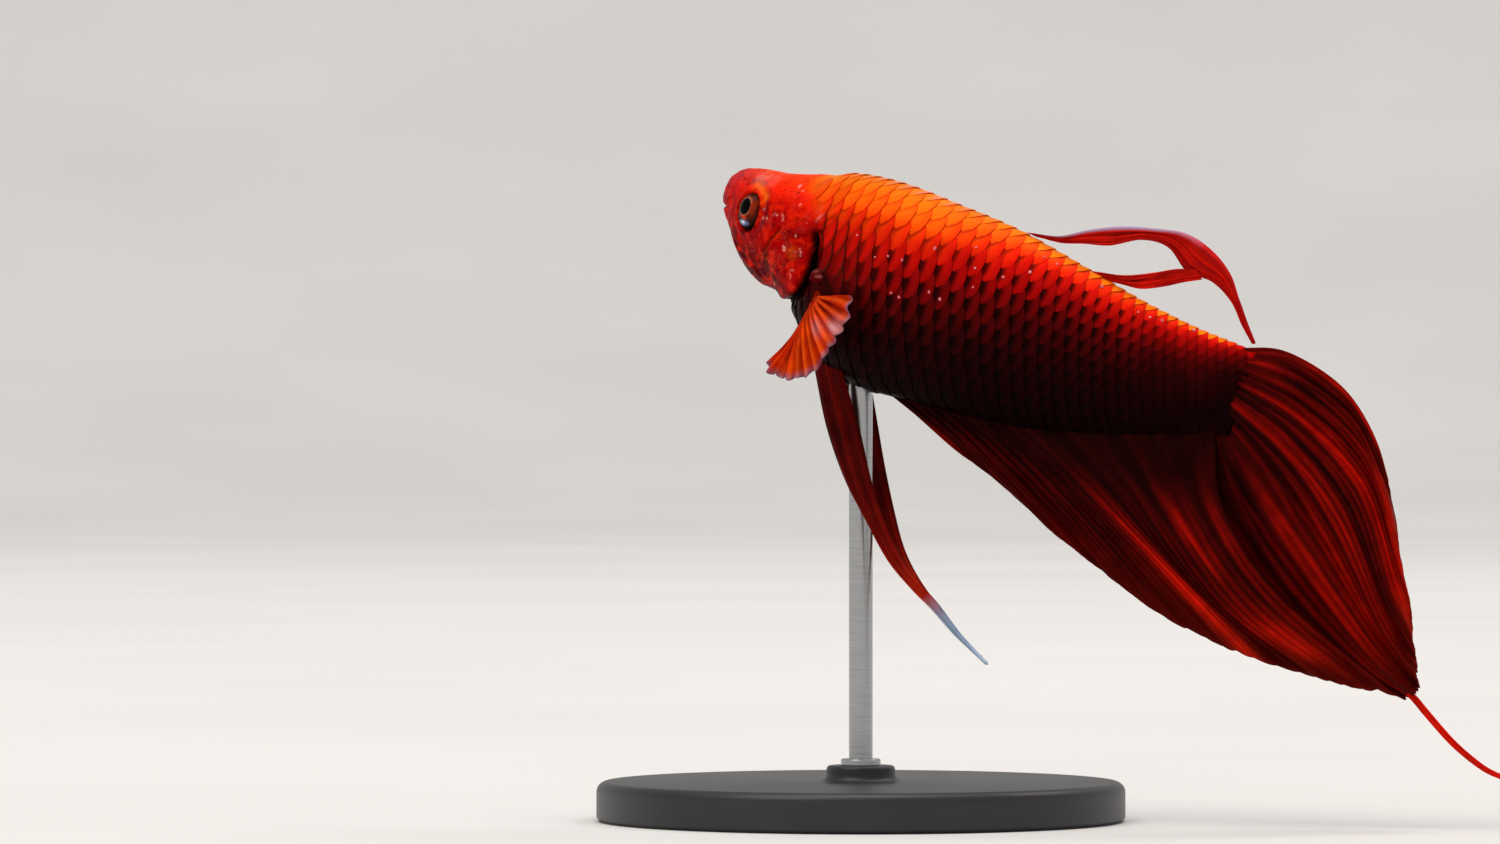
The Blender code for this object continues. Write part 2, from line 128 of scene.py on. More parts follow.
# Even steps of length round the body: share 0 is the back, 1 the belly, minus on the left side.
roundSteps = {"stations": 160, "turns": 240, "shares": 128}


def roundTables():
    stations = snout + np.linspace(0, 1, roundSteps["stations"]) ** 2 * (bodyEnd - snout)
    turns = np.linspace(0, math.pi, roundSteps["turns"])
    side, height, _, _ = skinCross(stations[:, None], math.pi / 2 - turns)
    run = np.cumsum(np.hypot(np.diff(side), np.diff(height)), axis=1)
    run = np.concatenate([np.zeros((len(run), 1)), run], axis=1)
    shares = np.linspace(0, 1, roundSteps["shares"] + 1)
    return np.array([np.interp(shares, row / row[-1], turns) for row in run])


roundTable = roundTables()


def turnAt(station, share):
    row = np.sqrt(np.clip((station - snout) / (bodyEnd - snout), 0, 1)) * (roundSteps["stations"] - 1)
    column = np.clip(np.abs(share), 0, 1) * roundSteps["shares"]
    lowRow = np.minimum(row.astype(int), roundSteps["stations"] - 2)
    lowColumn = np.minimum(column.astype(int), roundSteps["shares"] - 1)
    r, c = row - lowRow, column - lowColumn
    near = roundTable[lowRow, lowColumn] * (1 - c) + roundTable[lowRow, lowColumn + 1] * c
    far = roundTable[lowRow + 1, lowColumn] * (1 - c) + roundTable[lowRow + 1, lowColumn + 1] * c
    return np.sign(share) * (near * (1 - r) + far * r)


def skinFrame(station, share):
    # what skinCross says at this share of the way round, and the angle above the horizontal
    angle = math.pi / 2 - turnAt(station, (share + 1) % 2 - 1)
    return (*skinCross(station, angle), np.degrees(np.arcsin(np.clip(np.sin(angle), -1, 1))))


# The middle of the CAD eye in the fish's own measures ties the two together.
eyePlace = {"station": 5.0, "side": 2.45, "height": 0.75}
eyeLow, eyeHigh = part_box("eye_left")
eyeInFish = bodyPoint(np.array(eyePlace["station"]), -eyePlace["side"], eyePlace["height"])
fishShift = np.array((eyeLow + eyeHigh) / 2) / mm - eyeInFish


def readCorners(piece):
    flat = np.empty(len(piece.data.vertices) * 3)
    piece.data.vertices.foreach_get("co", flat)
    return flat.reshape(-1, 3)


def addMark(mesh, name, values):
    layer = mesh.attributes.new(name, "FLOAT_VECTOR", "POINT")
    layer.data.foreach_set("vector", np.ravel(values))


def closeMesh(crease=None, weld=False, inside=False):
    # the active piece: welded where asked, its faces turned outwards, shaded smooth up to the crease angle
    bpy.ops.object.mode_set(mode="EDIT")
    bpy.ops.mesh.select_all(action="SELECT")
    if weld:
        bpy.ops.mesh.remove_doubles(threshold=1e-6)
        bpy.ops.mesh.dissolve_degenerate(threshold=1e-8)
    bpy.ops.mesh.normals_make_consistent(inside=inside)
    bpy.ops.object.mode_set(mode="OBJECT")
    if crease:
        bpy.ops.object.shade_smooth_by_angle(angle=math.radians(crease))
    else:
        bpy.ops.object.shade_smooth()


def gridPiece(name, across, along, place):
    # a grid whose corners "place" lays: from s and t, 0 to 1, it gives the points and the marks on them
    bpy.ops.mesh.primitive_grid_add(x_subdivisions=across, y_subdivisions=along, size=1)
    piece = bpy.context.object
    piece.name = name
    piece.data.name = name
    flat = readCorners(piece)
    order = np.lexsort((flat[:, 0], flat[:, 1]))
    columns = len(np.unique(np.round(flat[:, 0], 6)))
    s, t = ((flat[order, k] + 0.5).reshape(-1, columns) for k in (0, 1))
    points, marks = place(s, t)
    flat[order] = (points + fishShift).reshape(-1, 3) * mm
    piece.data.vertices.foreach_set("co", flat.ravel())
    for markName, value in marks.items():
        ordered = np.empty(flat.shape)
        ordered[order] = np.stack(np.broadcast_arrays(*value), -1).reshape(-1, 3)
        addMark(piece.data, markName, ordered)
    closeMesh(weld=True)
    return piece


def gridNormals(points):
    across = np.gradient(points, axis=1)
    along = np.gradient(points, axis=0)
    normals = np.cross(across, along)
    return normals / (np.linalg.norm(normals, axis=-1, keepdims=True) + 1e-12)


def finishPiece(piece, finish, slot, *nodes):
    piece.data.materials.clear()
    piece.data.materials.append(finish)
    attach(piece, "root")
    if nodes:
        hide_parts(*nodes)
    bpy.ops.object.select_all(action="DESELECT")


# Materials. A noise's scale is 1000 divided by its grain in mm, because the pieces are in metres.

def colour(code):
    parts = [int(code[k:k + 2], 16) / 255 for k in (1, 3, 5)]
    return tuple(c / 12.92 if c <= 0.04045 else ((c + 0.055) / 1.055) ** 2.4 for c in parts) + (1.0,)


def newFinish(name):
    # the material, the place on a piece, and addNode for the material's own nodes
    finish = bpy.data.materials.new(name)
    finish.use_nodes = True
    add = partial(addNode, finish.node_tree)
    return finish, add("TexCoord", out="Object"), add


def addNode(tree, kind, inputs=(), out=0, stops=(), **settings):
    # inputs by place in a list, or by name or number; each is a value or the socket that feeds it
    node = tree.nodes.new("ShaderNode" + kind)
    for setting, value in settings.items():
        setattr(node, setting, value)
    for key, value in inputs.items() if isinstance(inputs, dict) else enumerate(inputs):
        if isinstance(value, bpy.types.NodeSocket):
            tree.links.new(value, node.inputs[key])
        else:
            node.inputs[key].default_value = value
    for k, (place, code) in enumerate(stops):
        ramp = node.color_ramp.elements
        stop = ramp[k] if k < len(ramp) else ramp.new(place)
        stop.position = place
        stop.color = colour(code)
    return node.outputs if out is None else node.outputs[out]


def addLayers(add, shade, layers):
    for factor, code in layers:
        over = code if isinstance(code, bpy.types.NodeSocket) else colour(code)
        shade = add("Mix", {0: factor, 6: shade, 7: over}, 2, data_type="RGBA")
    return shade


def readMark(add, name):
    mark = add("Attribute", out="Vector", attribute_name=name)
    return add("SeparateXYZ", [mark], None)


def setSurface(finish, add, shade, height, strength, depth, **values):
    # its colour, a bump of this strength and of this depth in mm, and the shader's other values
    shader = finish.node_tree.nodes["Principled BSDF"]
    bump = add("Bump", {"Strength": strength, "Distance": depth * mm, "Height": height})
    for name, socket in (("Base Color", shade), ("Normal", bump)):
        finish.node_tree.links.new(socket, shader.inputs[name])
    for key, value in values.items():
        shader.inputs[key.replace("_", " ")].default_value = value
    return finish


smoothStep = {"interpolation_type": "SMOOTHSTEP"}
times = {"operation": "MULTIPLY"}
plus = {"operation": "ADD"}

# What the colours of skin and coat share. The mark "place" holds the tone, 0 on the back to 1 on the belly.
# The fish is red: the orange of the back and the near-black of the belly in the "body" and "head" ramps are a
# painted highlight and painted shade of light from above.
# "head" says how much of the head's own colour, of pink and of amber shows, "spots" olive,
# dark and pale, where the dark holds painted shade and the pale a painted highlight besides pigment, and
# "face" plum, mauve and pale scribbles.
bettaColours = {
    "body": [(0.0, "#FF8A12"), (0.08, "#FF7A0A"), (0.16, "#FF6006"), (0.22, "#FF4A06"), (0.28, "#F42A06"),
             (0.34, "#DE1408"), (0.42, "#B60A08"), (0.5, "#7C0708"), (0.58, "#500506"), (0.68, "#2E0405"),
             (0.8, "#1E0305"), (1.0, "#150304")],
    "head": [(0.0, "#FF4E18"), (0.14, "#FF3409"), (0.28, "#FF2207"), (0.34, "#D81005"), (0.42, "#A80303"),
             (0.58, "#B00202"), (0.68, "#780206"), (0.8, "#5C0208"), (1.0, "#460208")],
    "pink": "#A83440", "amber": "#FF6A10", "olive": "#30180A", "dark": "#100304", "pale": "#FFB0A0",
    "plum": "#500210", "mauve": "#741420", "scribble": "#E87868", "patchSize": 2.2, "breakSize": 0.7}


def fishColour(add, place, mottle, shift=None):
    patch = add("TexNoise", {"Vector": place, "Scale": 1000 / bettaColours["patchSize"], "Detail": 3.0})
    patch = add("MapRange", [patch, 0.3, 0.7, -mottle, mottle])
    tone = add("Math", [readMark(add, "place")[0], patch], **plus)
    if shift:
        tone = add("Math", [tone, shift], **plus)
    body, head = (add("ValToRGB", [tone], stops=bettaColours[part]) for part in ("body", "head"))
    # pink, plum, mauve and olive are broken up by a noise
    broken = add("TexNoise", {"Vector": place, "Scale": 1000 / bettaColours["breakSize"], "Detail": 3.0,
                              "Distortion": 0.8})
    broken = add("MapRange", [broken, 0.22, 0.7, 0.42, 1.0], **smoothStep)
    marks = dict(zip(("headShare", "pink", "amber"), readMark(add, "head")))
    marks.update(zip(("olive", "dark", "pale"), readMark(add, "spots")))
    marks.update(zip(("plum", "mauve"), readMark(add, "face")))
    for name in ("pink", "plum", "mauve", "olive"):
        marks[name] = add("Math", [marks[name], broken], **times)
    layers = [(marks[name], bettaColours[name])
              for name in ("plum", "pink", "mauve", "amber", "olive", "dark", "pale")]
    return addLayers(add, body, [(marks["headShare"], head)] + layers), marks["headShare"]


# Noises on the head: grain in mm, detail, distortion, where it starts to show, where it is full, strength.
headNoises = {"blotch": (1.0, 4.0, 0.25, 0.5, 0.66, 0.6), "glow": (0.9, 3.0, 0.4, 0.47, 0.68, 0.65),
              "sparse": (1.5, 1.0, 0.0, 0.56, 0.66, 0.7), "pores": (0.3, 1.0, 0.0, 0.64, 0.72, 0.6)}
headShades = {"blotch": "#780204", "glow": "#F42406", "pores": "#480204",
              "squiggle": bettaColours["scribble"]}


def makeSkinFinish():
    # wet scaleless skin over cheeks, lips and nape: satin, with blotched pigment and fine pale squiggles
    finish, place, add = newFinish("wetFishSkin")
    shade, headShare = fishColour(add, place, 0.05)
    noises = {}
    for name, (size, detail, distortion, start, full, strength) in headNoises.items():
        noise = add("TexNoise", {"Vector": place, "Scale": 1000 / size, "Detail": detail,
                                 "Distortion": distortion})
        noises[name] = add("MapRange", {0: noise, 1: start, 2: full, 4: strength}, **smoothStep)
    tone = readMark(add, "place")[0]
    low = add("MapRange", [tone, 0.26, 0.4, 0.2, 1.0], **smoothStep)
    noises["blotch"] = add("Math", [noises["blotch"], low], **times)
    # a squiggle runs where a twisted noise passes its middle, and shows only in places
    lines = add("TexNoise", {"Vector": place, "Scale": 1000 / 0.5, "Detail": 1.5, "Distortion": 2.2})
    lines = add("Math", [lines, 0.5], operation="SUBTRACT")
    lines = add("Math", [lines], operation="ABSOLUTE")
    lines = add("MapRange", [lines, 0.006, 0.024, 0.5, 0.0], **smoothStep)
    scribble = readMark(add, "face")[2]
    sparse = add("Math", [noises["sparse"], scribble], operation="MAXIMUM")
    noises["squiggle"] = add("Math", [lines, sparse], **times)
    layers = [(add("Math", [noises[name], headShare], **times), code)
              for name, code in headShades.items()]
    shade = addLayers(add, shade, layers)
    grain = add("TexNoise", {"Vector": place, "Scale": 1000 / 0.3, "Detail": 3.0})
    grain = add("Math", [grain, layers[-1][0]], **plus)
    return setSurface(finish, add, shade, grain, 0.5, 0.06,
                      Metallic=0.1, Roughness=0.4, Specular_IOR_Level=0.005)


# Marks that change a scale's looks: the mark, where the change starts and ends, and its strength at each.
# "foot" is the dark part that comes out from under the scale before, dark pigment and the painted shadow of
# that scale's edge; "edge" the free edge on the breast and "ridge" a painted highlight, the pale edges along
# the ridge of the back.
scaleLooks = {
    "footWhole": ("tone", 0.18, 0.36, 0.0, 1.0), "footReach": ("tone", 0.1, 0.55, 0.1, 0.4),
    "footDark": ("tone", 0.03, 0.4, 0.3, 0.96), "footAtTail": ("station", 36.0, 45.0, 1.0, 0.35),
    "footAtHead": ("station", 13.0, 19.0, 0.45, 1.0), "edge": ("rim", 0.8, 0.96, 0.0, 1.0),
    "breast": ("station", 20.0, 15.0, 0.0, 0.75), "ridge": ("tone", 0.03, 0.0, 0.0, 0.7)}
scaleShades = {
    "foot": [(0.0, "#E03C06"), (0.14, "#BC2204"), (0.26, "#780A04"), (0.36, "#300604"), (0.5, "#120403"),
             (1.0, "#0A0303")],
    "breast": [(0.22, "#000000"), (0.34, "#FFFFFF"), (0.5, "#FFFFFF"), (0.64, "#000000")]}
ringWave = 60.0  # radians from the middle of a scale to its rim: nine growth rings


def makeScaleFinish():
    # cycloid scales: smooth horn over pigment, and a dark foot of pigment and painted shadow where each comes
    # out from under the one before it
    finish, place, add = newFinish("bettaScales")
    bare, rim, chance = readMark(add, "plate")
    tone, station, dorsal = readMark(add, "place")
    warm = add("MapRange", [rim, 0.1, 0.95, -0.03, 0.035])
    shade, _ = fishColour(add, place, 0.02, warm)
    tint = add("MapRange", {0: chance, 3: 0.9, 4: 1.1})
    shade = add("HueSaturation", {"Value": tint, "Color": shade})
    marks = {"tone": tone, "station": station, "rim": rim}
    looks = {name: add("MapRange", [marks[mark], start, end, first, last], **smoothStep)
             for name, (mark, start, end, first, last) in scaleLooks.items()}
    # painted shadow of light from above: high up only the half of a foot under the next higher row shows
    # dark, low down the whole foot
    lean = add("MapRange", [dorsal, -0.25, 0.15, looks["footWhole"], 1.0], **smoothStep)
    reach = looks["footReach"]
    start = add("Math", [reach, 0.3], **times)
    looks["foot"] = add("MapRange", [bare, start, reach, 1.0, 0.0], **smoothStep)
    footPigmentAndShadow, band = (add("ValToRGB", [tone], stops=scaleShades[part]) for part in ("foot", "breast"))
    onFront = add("MapRange", [station, 26.0, 20.0])
    onRim = add("MapRange", [rim, 0.6, 0.95])
    # the dark of the foot is pigment and painted shadow, the pale of "ridge" a painted highlight
    for name, factors in (("foot", (looks["footDark"], lean, looks["footAtTail"], looks["footAtHead"])),
                          ("edge", (looks["breast"], band)), ("ridge", (onFront, onRim))):
        for factor in factors:
            looks[name] = add("Math", [looks[name], factor], **times)
    shade = addLayers(add, shade, [(looks["foot"], footPigmentAndShadow), (looks["edge"], bettaColours["olive"]),
                                   (looks["ridge"], bettaColours["pale"])])
    rings = add("Math", [rim, ringWave], **times)
    rings = add("Math", [rings], operation="SINE")
    return setSurface(finish, add, shade, rings, 0.12, 0.02,
                      Metallic=0.22, Roughness=0.38, Specular_IOR_Level=0.008)


# Body skin: one closed surface from lips to tail root, sunk under the scales by the coat's depth.
skin = {"across": 240, "along": 300, "headRows": 0.6, "headEnd": 13.5, "coatDepth": 0.24}
# the gill cover's rear edge: angle above the horizontal on the side, station
gillEdge = np.array([(-90, 8.4), (-62, 9.5), (-49, 10.3), (-36, 11.2), (-23, 12.0), (-10, 12.55), (-2, 12.45),
                     (8, 12.1), (25, 11.5), (42, 10.8), (90, 10.2)], float)
orbit = {"station": 5.04, "height": 0.87, "back": 0.93, "up": 1.05, "radius": 1.36}
lobe = {"station": 13.36, "height": -1.69, "radius": 0.5}
# (station, height) and how wide: the nostrils, and the roots of the pectoral and the pelvic fin
nostrils = [((2.75, 2.72), 0.13), ((3.75, 2.6), 0.1)]
finRoots = [((13.9, -2.8), 0.75), ((15.3, -8.7), 0.7)]
# station, how wide, share of the depth
throatFolds = [(7.6, 0.14, 1.0), (6.6, 0.12, 1.0), (5.7, 0.1, 0.7)]
# lines over cheek and gill cover, through points of (station, height)
creases = [[(11.4, 2.1), (10.3, 1.75), (9.4, 1.04), (8.8, 0.1), (8.06, -0.98), (7.13, -2.3)],
           [(12.1, 1.15), (11.0, 0.64), (10.0, 0.9)],
           [(12.2, -0.6), (11.2, -0.9), (10.1, -1.9), (9.3, -3.0)],
           [(7.6, -3.9), (6.5, -3.0), (5.2, -2.6), (3.9, -1.9)]]
# how far each thing on the head stands out, or goes in where the code takes it away, in mm
relief = {"cover": 0.24, "coverRim": 0.05, "slit": 0.75, "slitTop": 0.14, "orbitRim": 0.13, "socket": 0.8,
          "brow": 0.16, "cheek": 0.12, "upperLip": 0.13, "lowerLip": 0.1, "mouth": 0.12, "lipFold": 0.06,
          "chinFold": 0.09, "nostrilRim": 0.07, "nostril": 0.24, "creaseRim": 0.05,
          "creases": (0.11, 0.09, 0.07, 0.06), "wrinkles": 0.018, "pits": 0.014, "throatFold": 0.1,
          "lobe": 0.55, "finRoot": 0.22}


def edgeStation(degrees):
    return hermite(gillEdge[:, 0], gillEdge[:, 1:], np.clip(degrees, -90, 90))[..., 0]


def gillSlit(behind, degrees, low, high):
    # 1 at the cover's edge and in the slit behind it, 0 further back and at the slit's two ends
    return smooth(high, low, behind) * smooth(16, 6, degrees) * smooth(-86, -70, degrees)


def lineDistance(station, height, points):
    nearest = np.full(np.shape(station), 1e9)
    for (a0, h0), (a1, h1) in zip(points, points[1:] or points):
        run = max((a1 - a0) ** 2 + (h1 - h0) ** 2, 1e-9)
        t = np.clip(((station - a0) * (a1 - a0) + (height - h0) * (h1 - h0)) / run, 0, 1)
        nearest = np.minimum(nearest, np.hypot(station - a0 - t * (a1 - a0), height - h0 - t * (h1 - h0)))
    return nearest


# From here a is a station and h a height, both in mm. The next four place what skin and colours share.
def coverPlace(a, degrees):
    # how far behind the gill cover's edge, and 1 on the side, 0 on the back
    return a - edgeStation(degrees), smooth(46, 34, degrees)


def orbitPlace(a, h):
    # distance from the eye, and 1 low behind it
    back = (a - orbit["station"]) / orbit["back"]
    up = (h - orbit["height"]) / orbit["up"]
    return np.hypot(back, up), smooth(0, 1.4, back - 0.6 * up)


def mouthPlace(a, h):
    # height above the mouth, distance behind the fold of the upper lip, and how much of lips and fold is here
    above = h - 0.08 - 0.06 * a ** 2
    behindFold = a - 2.02 - 0.1 * (h - 1.2) ** 2
    return above, behindFold, smooth(2.15, 1.7, a), smooth(0.1, 0.5, h) * smooth(2.9, 2.3, h)


def lobeDistance(a, h):
    return np.hypot(a - lobe["station"], h - lobe["height"])


def skinRelief(a, h, degrees):
    behind, side = coverPlace(a, degrees)
    fromEye, low = orbitPlace(a, h)
    above, behindFold, lips, fold = mouthPlace(a, h)
    radius = orbit["radius"]
    # the bed of the scales, the gill cover and the slit behind it
    lift = -skin["coatDepth"] * (side * smooth(0.0, 0.45, behind) + (1 - side) * smooth(8.6, 11.4, a))
    lift += relief["cover"] * smooth(6.6, 12.2, a) * smooth(0.1, -0.06, behind) * side
    lift += relief["coverRim"] * hill(behind + 0.28, 0.16) * side * smooth(-80, -60, degrees)
    lift -= relief["slit"] * hill(behind - 0.34, 0.24) * smooth(14, 4, degrees) * smooth(-84, -66, degrees)
    lift -= relief["slitTop"] * hill(behind - 0.12, 0.16) * smooth(42, 30, degrees) * smooth(2, 10, degrees)
    # eye socket, brow and cheek
    lift += relief["orbitRim"] * hill(fromEye - radius - 0.24, 0.2)
    lift -= relief["socket"] * smooth(radius + 0.1 + 0.12 * low, radius - 0.16 + 0.06 * low, fromEye)
    lift += relief["brow"] * hill(np.hypot((a - 5.0) / 1.7, (h - 2.75) / 0.6), 1)
    lift += relief["cheek"] * hill(np.hypot(a - 8.0, h + 0.2), 1.5)
    # lips, mouth, the fold of the upper lip and the one of the chin
    lift += relief["upperLip"] * lips * smooth(0.06, 0.4, above) * smooth(2.9, 2.1, h)
    lift += relief["lowerLip"] * smooth(1.9, 1.3, a) * smooth(-0.04, -0.2, above) * smooth(-1.0, -0.5, h)
    lift -= relief["mouth"] * hill(above, 0.1) * lips
    lift -= relief["lipFold"] * hill(behindFold, 0.14) * fold
    lift -= relief["chinFold"] * hill(h + 1.15 + 0.25 * (a - 1), 0.13) * smooth(3.0, 1.8, a)
    for (holeStation, holeHeight), size in nostrils:
        fromHole = np.hypot(a - holeStation, h - holeHeight)
        lift += relief["nostrilRim"] * hill(fromHole - 1.9 * size, 0.6 * size)
        lift -= relief["nostril"] * hill(fromHole, size)
    for depth, line in zip(relief["creases"], creases):
        away = lineDistance(a, h, line)
        lift += relief["creaseRim"] * hill(away - 0.36, 0.2) - depth * hill(away, 0.12)
    # fine wrinkles of the gill cover and pits all over the head
    wrinkles = np.sin((h + 0.5) * 2.6 + 0.7 * np.sin(a * 1.3)) * np.sin(a * 1.9 + h * 0.8)
    lift += relief["wrinkles"] * wrinkles * smooth(6.5, 8, a) * smooth(0.3, -0.5, behind) * side
    pits = np.sin(a * 7.1 + 2 * np.sin(h * 2.3)) * np.sin(h * 6.3 + 1.7 * np.sin(a * 1.9))
    lift += relief["pits"] * pits * smooth(13, 10, a)
    for station, width, share in throatFolds:
        lift -= relief["throatFold"] * share * smooth(-60, -80, degrees) * hill(a - station, width)
    lift += relief["lobe"] * smooth(lobe["radius"] + 0.08, lobe["radius"] - 0.2, lobeDistance(a, h))
    for (station, height), reach in finRoots:
        lift += relief["finRoot"] * hill(np.hypot(a - station, h - height), reach)
    return lift


def placeSkin(s, t):
    share = 2 * s - 1
    # the head has its own part of the rows, closest together at the snout
    head = skin["headRows"]
    front = snout + (skin["headEnd"] - snout) * (np.minimum(t, head) / head) ** 1.5
    station = front + (bodyEnd - skin["headEnd"]) * np.clip((t - head) / (1 - head), 0, 1)
    side, height, outSide, outHeight, degrees = skinFrame(station, share)
    base = bodyPoint(station, side, height)
    normals = gridNormals(base)
    outward = bodyPoint(station, side + outSide, height + outHeight) - base
    normals *= np.sign((normals * outward).sum(-1))[..., None]
    normals[0] = normals[1].mean(0)
    points = base + normals * skinRelief(station, height, degrees)[..., None]
    points[0] = points[1].mean(0)
    points[-1] = bodyPoint(station[-1], 0 * side[-1], height[-1])
    return points, skinMarks(station, height, degrees, np.abs(share))


# station, how far the tone is moved up: the orange of the back, a painted highlight of light from above,
# narrows towards the tail
toneShift = np.array([(20, 0), (25, 0.07), (31, 0.17), (37, 0.19), (41.5, 0.24), (44, 0.27), (45.5, 0.33),
                      (47, 0.42)])


def toneOf(station, share):
    # 0 on the ridge of the back to 1 on the belly
    shift = np.interp(station, *toneShift.T)
    shift = shift * smooth(0.0, 0.1, share) * (1 - 0.35 * smooth(0.3, 0.6, share))
    return np.clip(share + np.maximum(shift, 0.34 * smooth(43.8, 46.2, station)), 0, 1)


# Lines and dots drawn on the head: mark, width, strength, (station, height) along it.
faceLines = [
    ("amber", 0.24, 0.9, [(4.7, 2.85), (5.7, 2.8), (6.45, 2.4), (6.35, 1.9)]),
    ("amber", 0.45, 0.5, [(11.0, -0.62)]),
    ("amber", 0.12, 0.2, [(9.35, 0.75), (8.9, 0.1), (8.2, -0.9), (7.4, -2.1)]),
    ("mauve", 0.32, 0.85, [(3.5, 2.9), (4.7, 3.15), (6.3, 2.7), (7.15, 1.4), (7.1, 0.3), (6.5, -0.7),
                           (4.8, -0.95)]),
    ("mauve", 0.3, 0.5, [(3.6, 0.1), (4.0, -0.9)]),
    ("olive", 0.45, 0.9, [(8.1, -1.6), (8.7, -3.3)]),
    ("olive", 0.3, 0.6, [(7.2, -2.3), (8.4, -2.2)]),
    ("scribble", 0.7, 0.9, [(7.3, -2.2), (8.5, -2.1), (9.3, -2.9)]),
    ("scribble", 0.6, 0.9, [(6.9, -4.4), (7.8, -4.5)]),
    ("scribble", 0.5, 0.7, [(5.6, -1.6), (6.6, -1.5)]),
    ("plum", 0.45, 0.9, [(lobe["station"], lobe["height"])]),
    ("pale", 0.45, 0.28, [(4.2, 3.4), (5.8, 3.5)]),
    ("pale", 0.045, 0.65, [(7.96, 1.39), (8.1, 1.66), (8.5, 1.56)]),
    ("pale", 0.045, 0.65, [(8.86, 1.8), (9.2, 1.62), (9.3, 1.36)]),
    ("pale", 0.045, 0.85, [(10.0, -0.35), (10.25, -0.4), (10.3, -0.62), (10.05, -0.66), (10.0, -0.45)]),
    ("pale", 0.045, 0.85, [(11.69, -0.1), (11.93, -0.27), (11.89, -0.57)]),
    ("pale", 0.045, 0.55, [(11.12, -1.9), (11.5, -1.79)]),
    ("pale", 0.045, 0.55, [(11.1, -2.15), (11.3, -2.3), (11.22, -2.5)]),
    ("dark", 0.2, 0.5, [(6.4, 1.6), (6.5, 0.9), (6.25, 0.1)]),
    ("dark", 0.12, 0.6, [(12.7, 1.49), (12.9, 2.12), (13.26, 2.76), (13.56, 3.09)]),
    ("dark", 0.12, 0.6, [(13.0, 0.4), (13.4, 0.19), (13.83, 0.76)]),
    ("dark", 0.12, 0.6, [(10.53, 1.71), (11.06, 1.94), (11.39, 2.27)])]
# dots of one strength: place, width
paleDots = [((6.79, 1.61), 0.1), ((7.03, 0.95), 0.09), ((7.46, 1.07), 0.08), ((8.83, 4.06), 0.11),
            ((9.46, 3.89), 0.07), ((10.29, 2.92), 0.08), ((10.96, 0.73), 0.08), ((11.83, 2.96), 0.1),
            ((12.26, 2.61), 0.07), ((8.83, -3.66), 0.09)]
# the first two dark dots are painted shade in the nostrils, the others dark pigment
darkDots = [((2.75, 2.72), 0.12), ((3.75, 2.6), 0.1), ((6.95, 1.8), 0.15), ((7.25, 1.25), 0.13),
            ((7.2, 0.7), 0.1), ((8.36, 1.3), 0.08), ((9.2, 3.6), 0.1), ((10.1, 2.6), 0.09)]
for mark, strength, dots in (("pale", 0.9, paleDots), ("dark", 0.85, darkDots)):
    faceLines += [(mark, width, strength, [place]) for place, width in dots]
# painted shade: dark lines along the floors of the creases
faceLines += [("dark", 0.09, strength, line) for strength, line in zip((0.7, 0.55, 0.45, 0.35), creases)]


def skinMarks(a, h, degrees, share, slitShade=1.0):
    behind, side = coverPlace(a, degrees)
    fromEye, low = orbitPlace(a, h)
    above, behindFold, lips, fold = mouthPlace(a, h)
    rim = lobeDistance(a, h) - lobe["radius"] + 0.1
    # painted shade in the gill slit
    slit = slitShade * smooth(-0.02, 0.08, behind) * gillSlit(behind, degrees, 0.62, 0.95)
    socket = smooth(orbit["radius"] + 0.08 + 0.14 * low, orbit["radius"] - 0.1, fromEye)
    marks = {
        "head": side * smooth(0.1, -0.05, behind) + (1 - side) * smooth(10.8, 8.6, a),
        "pink": smooth(3.4, 1.4, a + 0.25 * np.abs(h - 1)) * smooth(-2.4, -0.8, h)
        + 0.5 * smooth(4.4, 3.2, a) * smooth(2.2, 3.0, h),
        "plum": 0.85 * smooth(9.5, 7.5, a) * smooth(0.6, 0.86, share),
        # "dark" is painted shade in the gill slit, the eye socket, under the orbit's rim low behind the eye,
        # in the mouth and in the fold of the upper lip
        "dark": slit + 0.9 * socket + 0.6 * low * hill(fromEye - 1.6, 0.18) + 0.7 * hill(above, 0.07) * lips
        + 0.2 * hill(behindFold, 0.12) * fold,
        # painted highlight: pale on the upper half of the raised lobe's rim
        "pale": 0.4 * hill(rim, 0.05) * (h > lobe["height"])}
    drawn = {}
    for name, width, strength, points in faceLines:
        line = strength * hill(lineDistance(a, h, points), width)
        drawn[name] = np.maximum(drawn.get(name, 0), line)
    groups = {"head": ("head", "pink", "amber"), "spots": ("olive", "dark", "pale"),
              "face": ("plum", "mauve", "scribble")}
    shares = {group: [np.clip(marks.get(name, 0) + drawn.get(name, 0), 0, 1) for name in names]
              for group, names in groups.items()}
    return {"place": (toneOf(a, share), a, h), **shares}


skinFinish = makeSkinFinish()
scaleFinish = makeScaleFinish()
bodySkin = gridPiece("bodySkin", skin["across"], skin["along"], placeSkin)
finishPiece(bodySkin, skinFinish, "body_skin", "head", "gill_cover_left", "gill_cover_right", "trunk_front",
            "trunk_rear", "tail_root")
print("skin made")


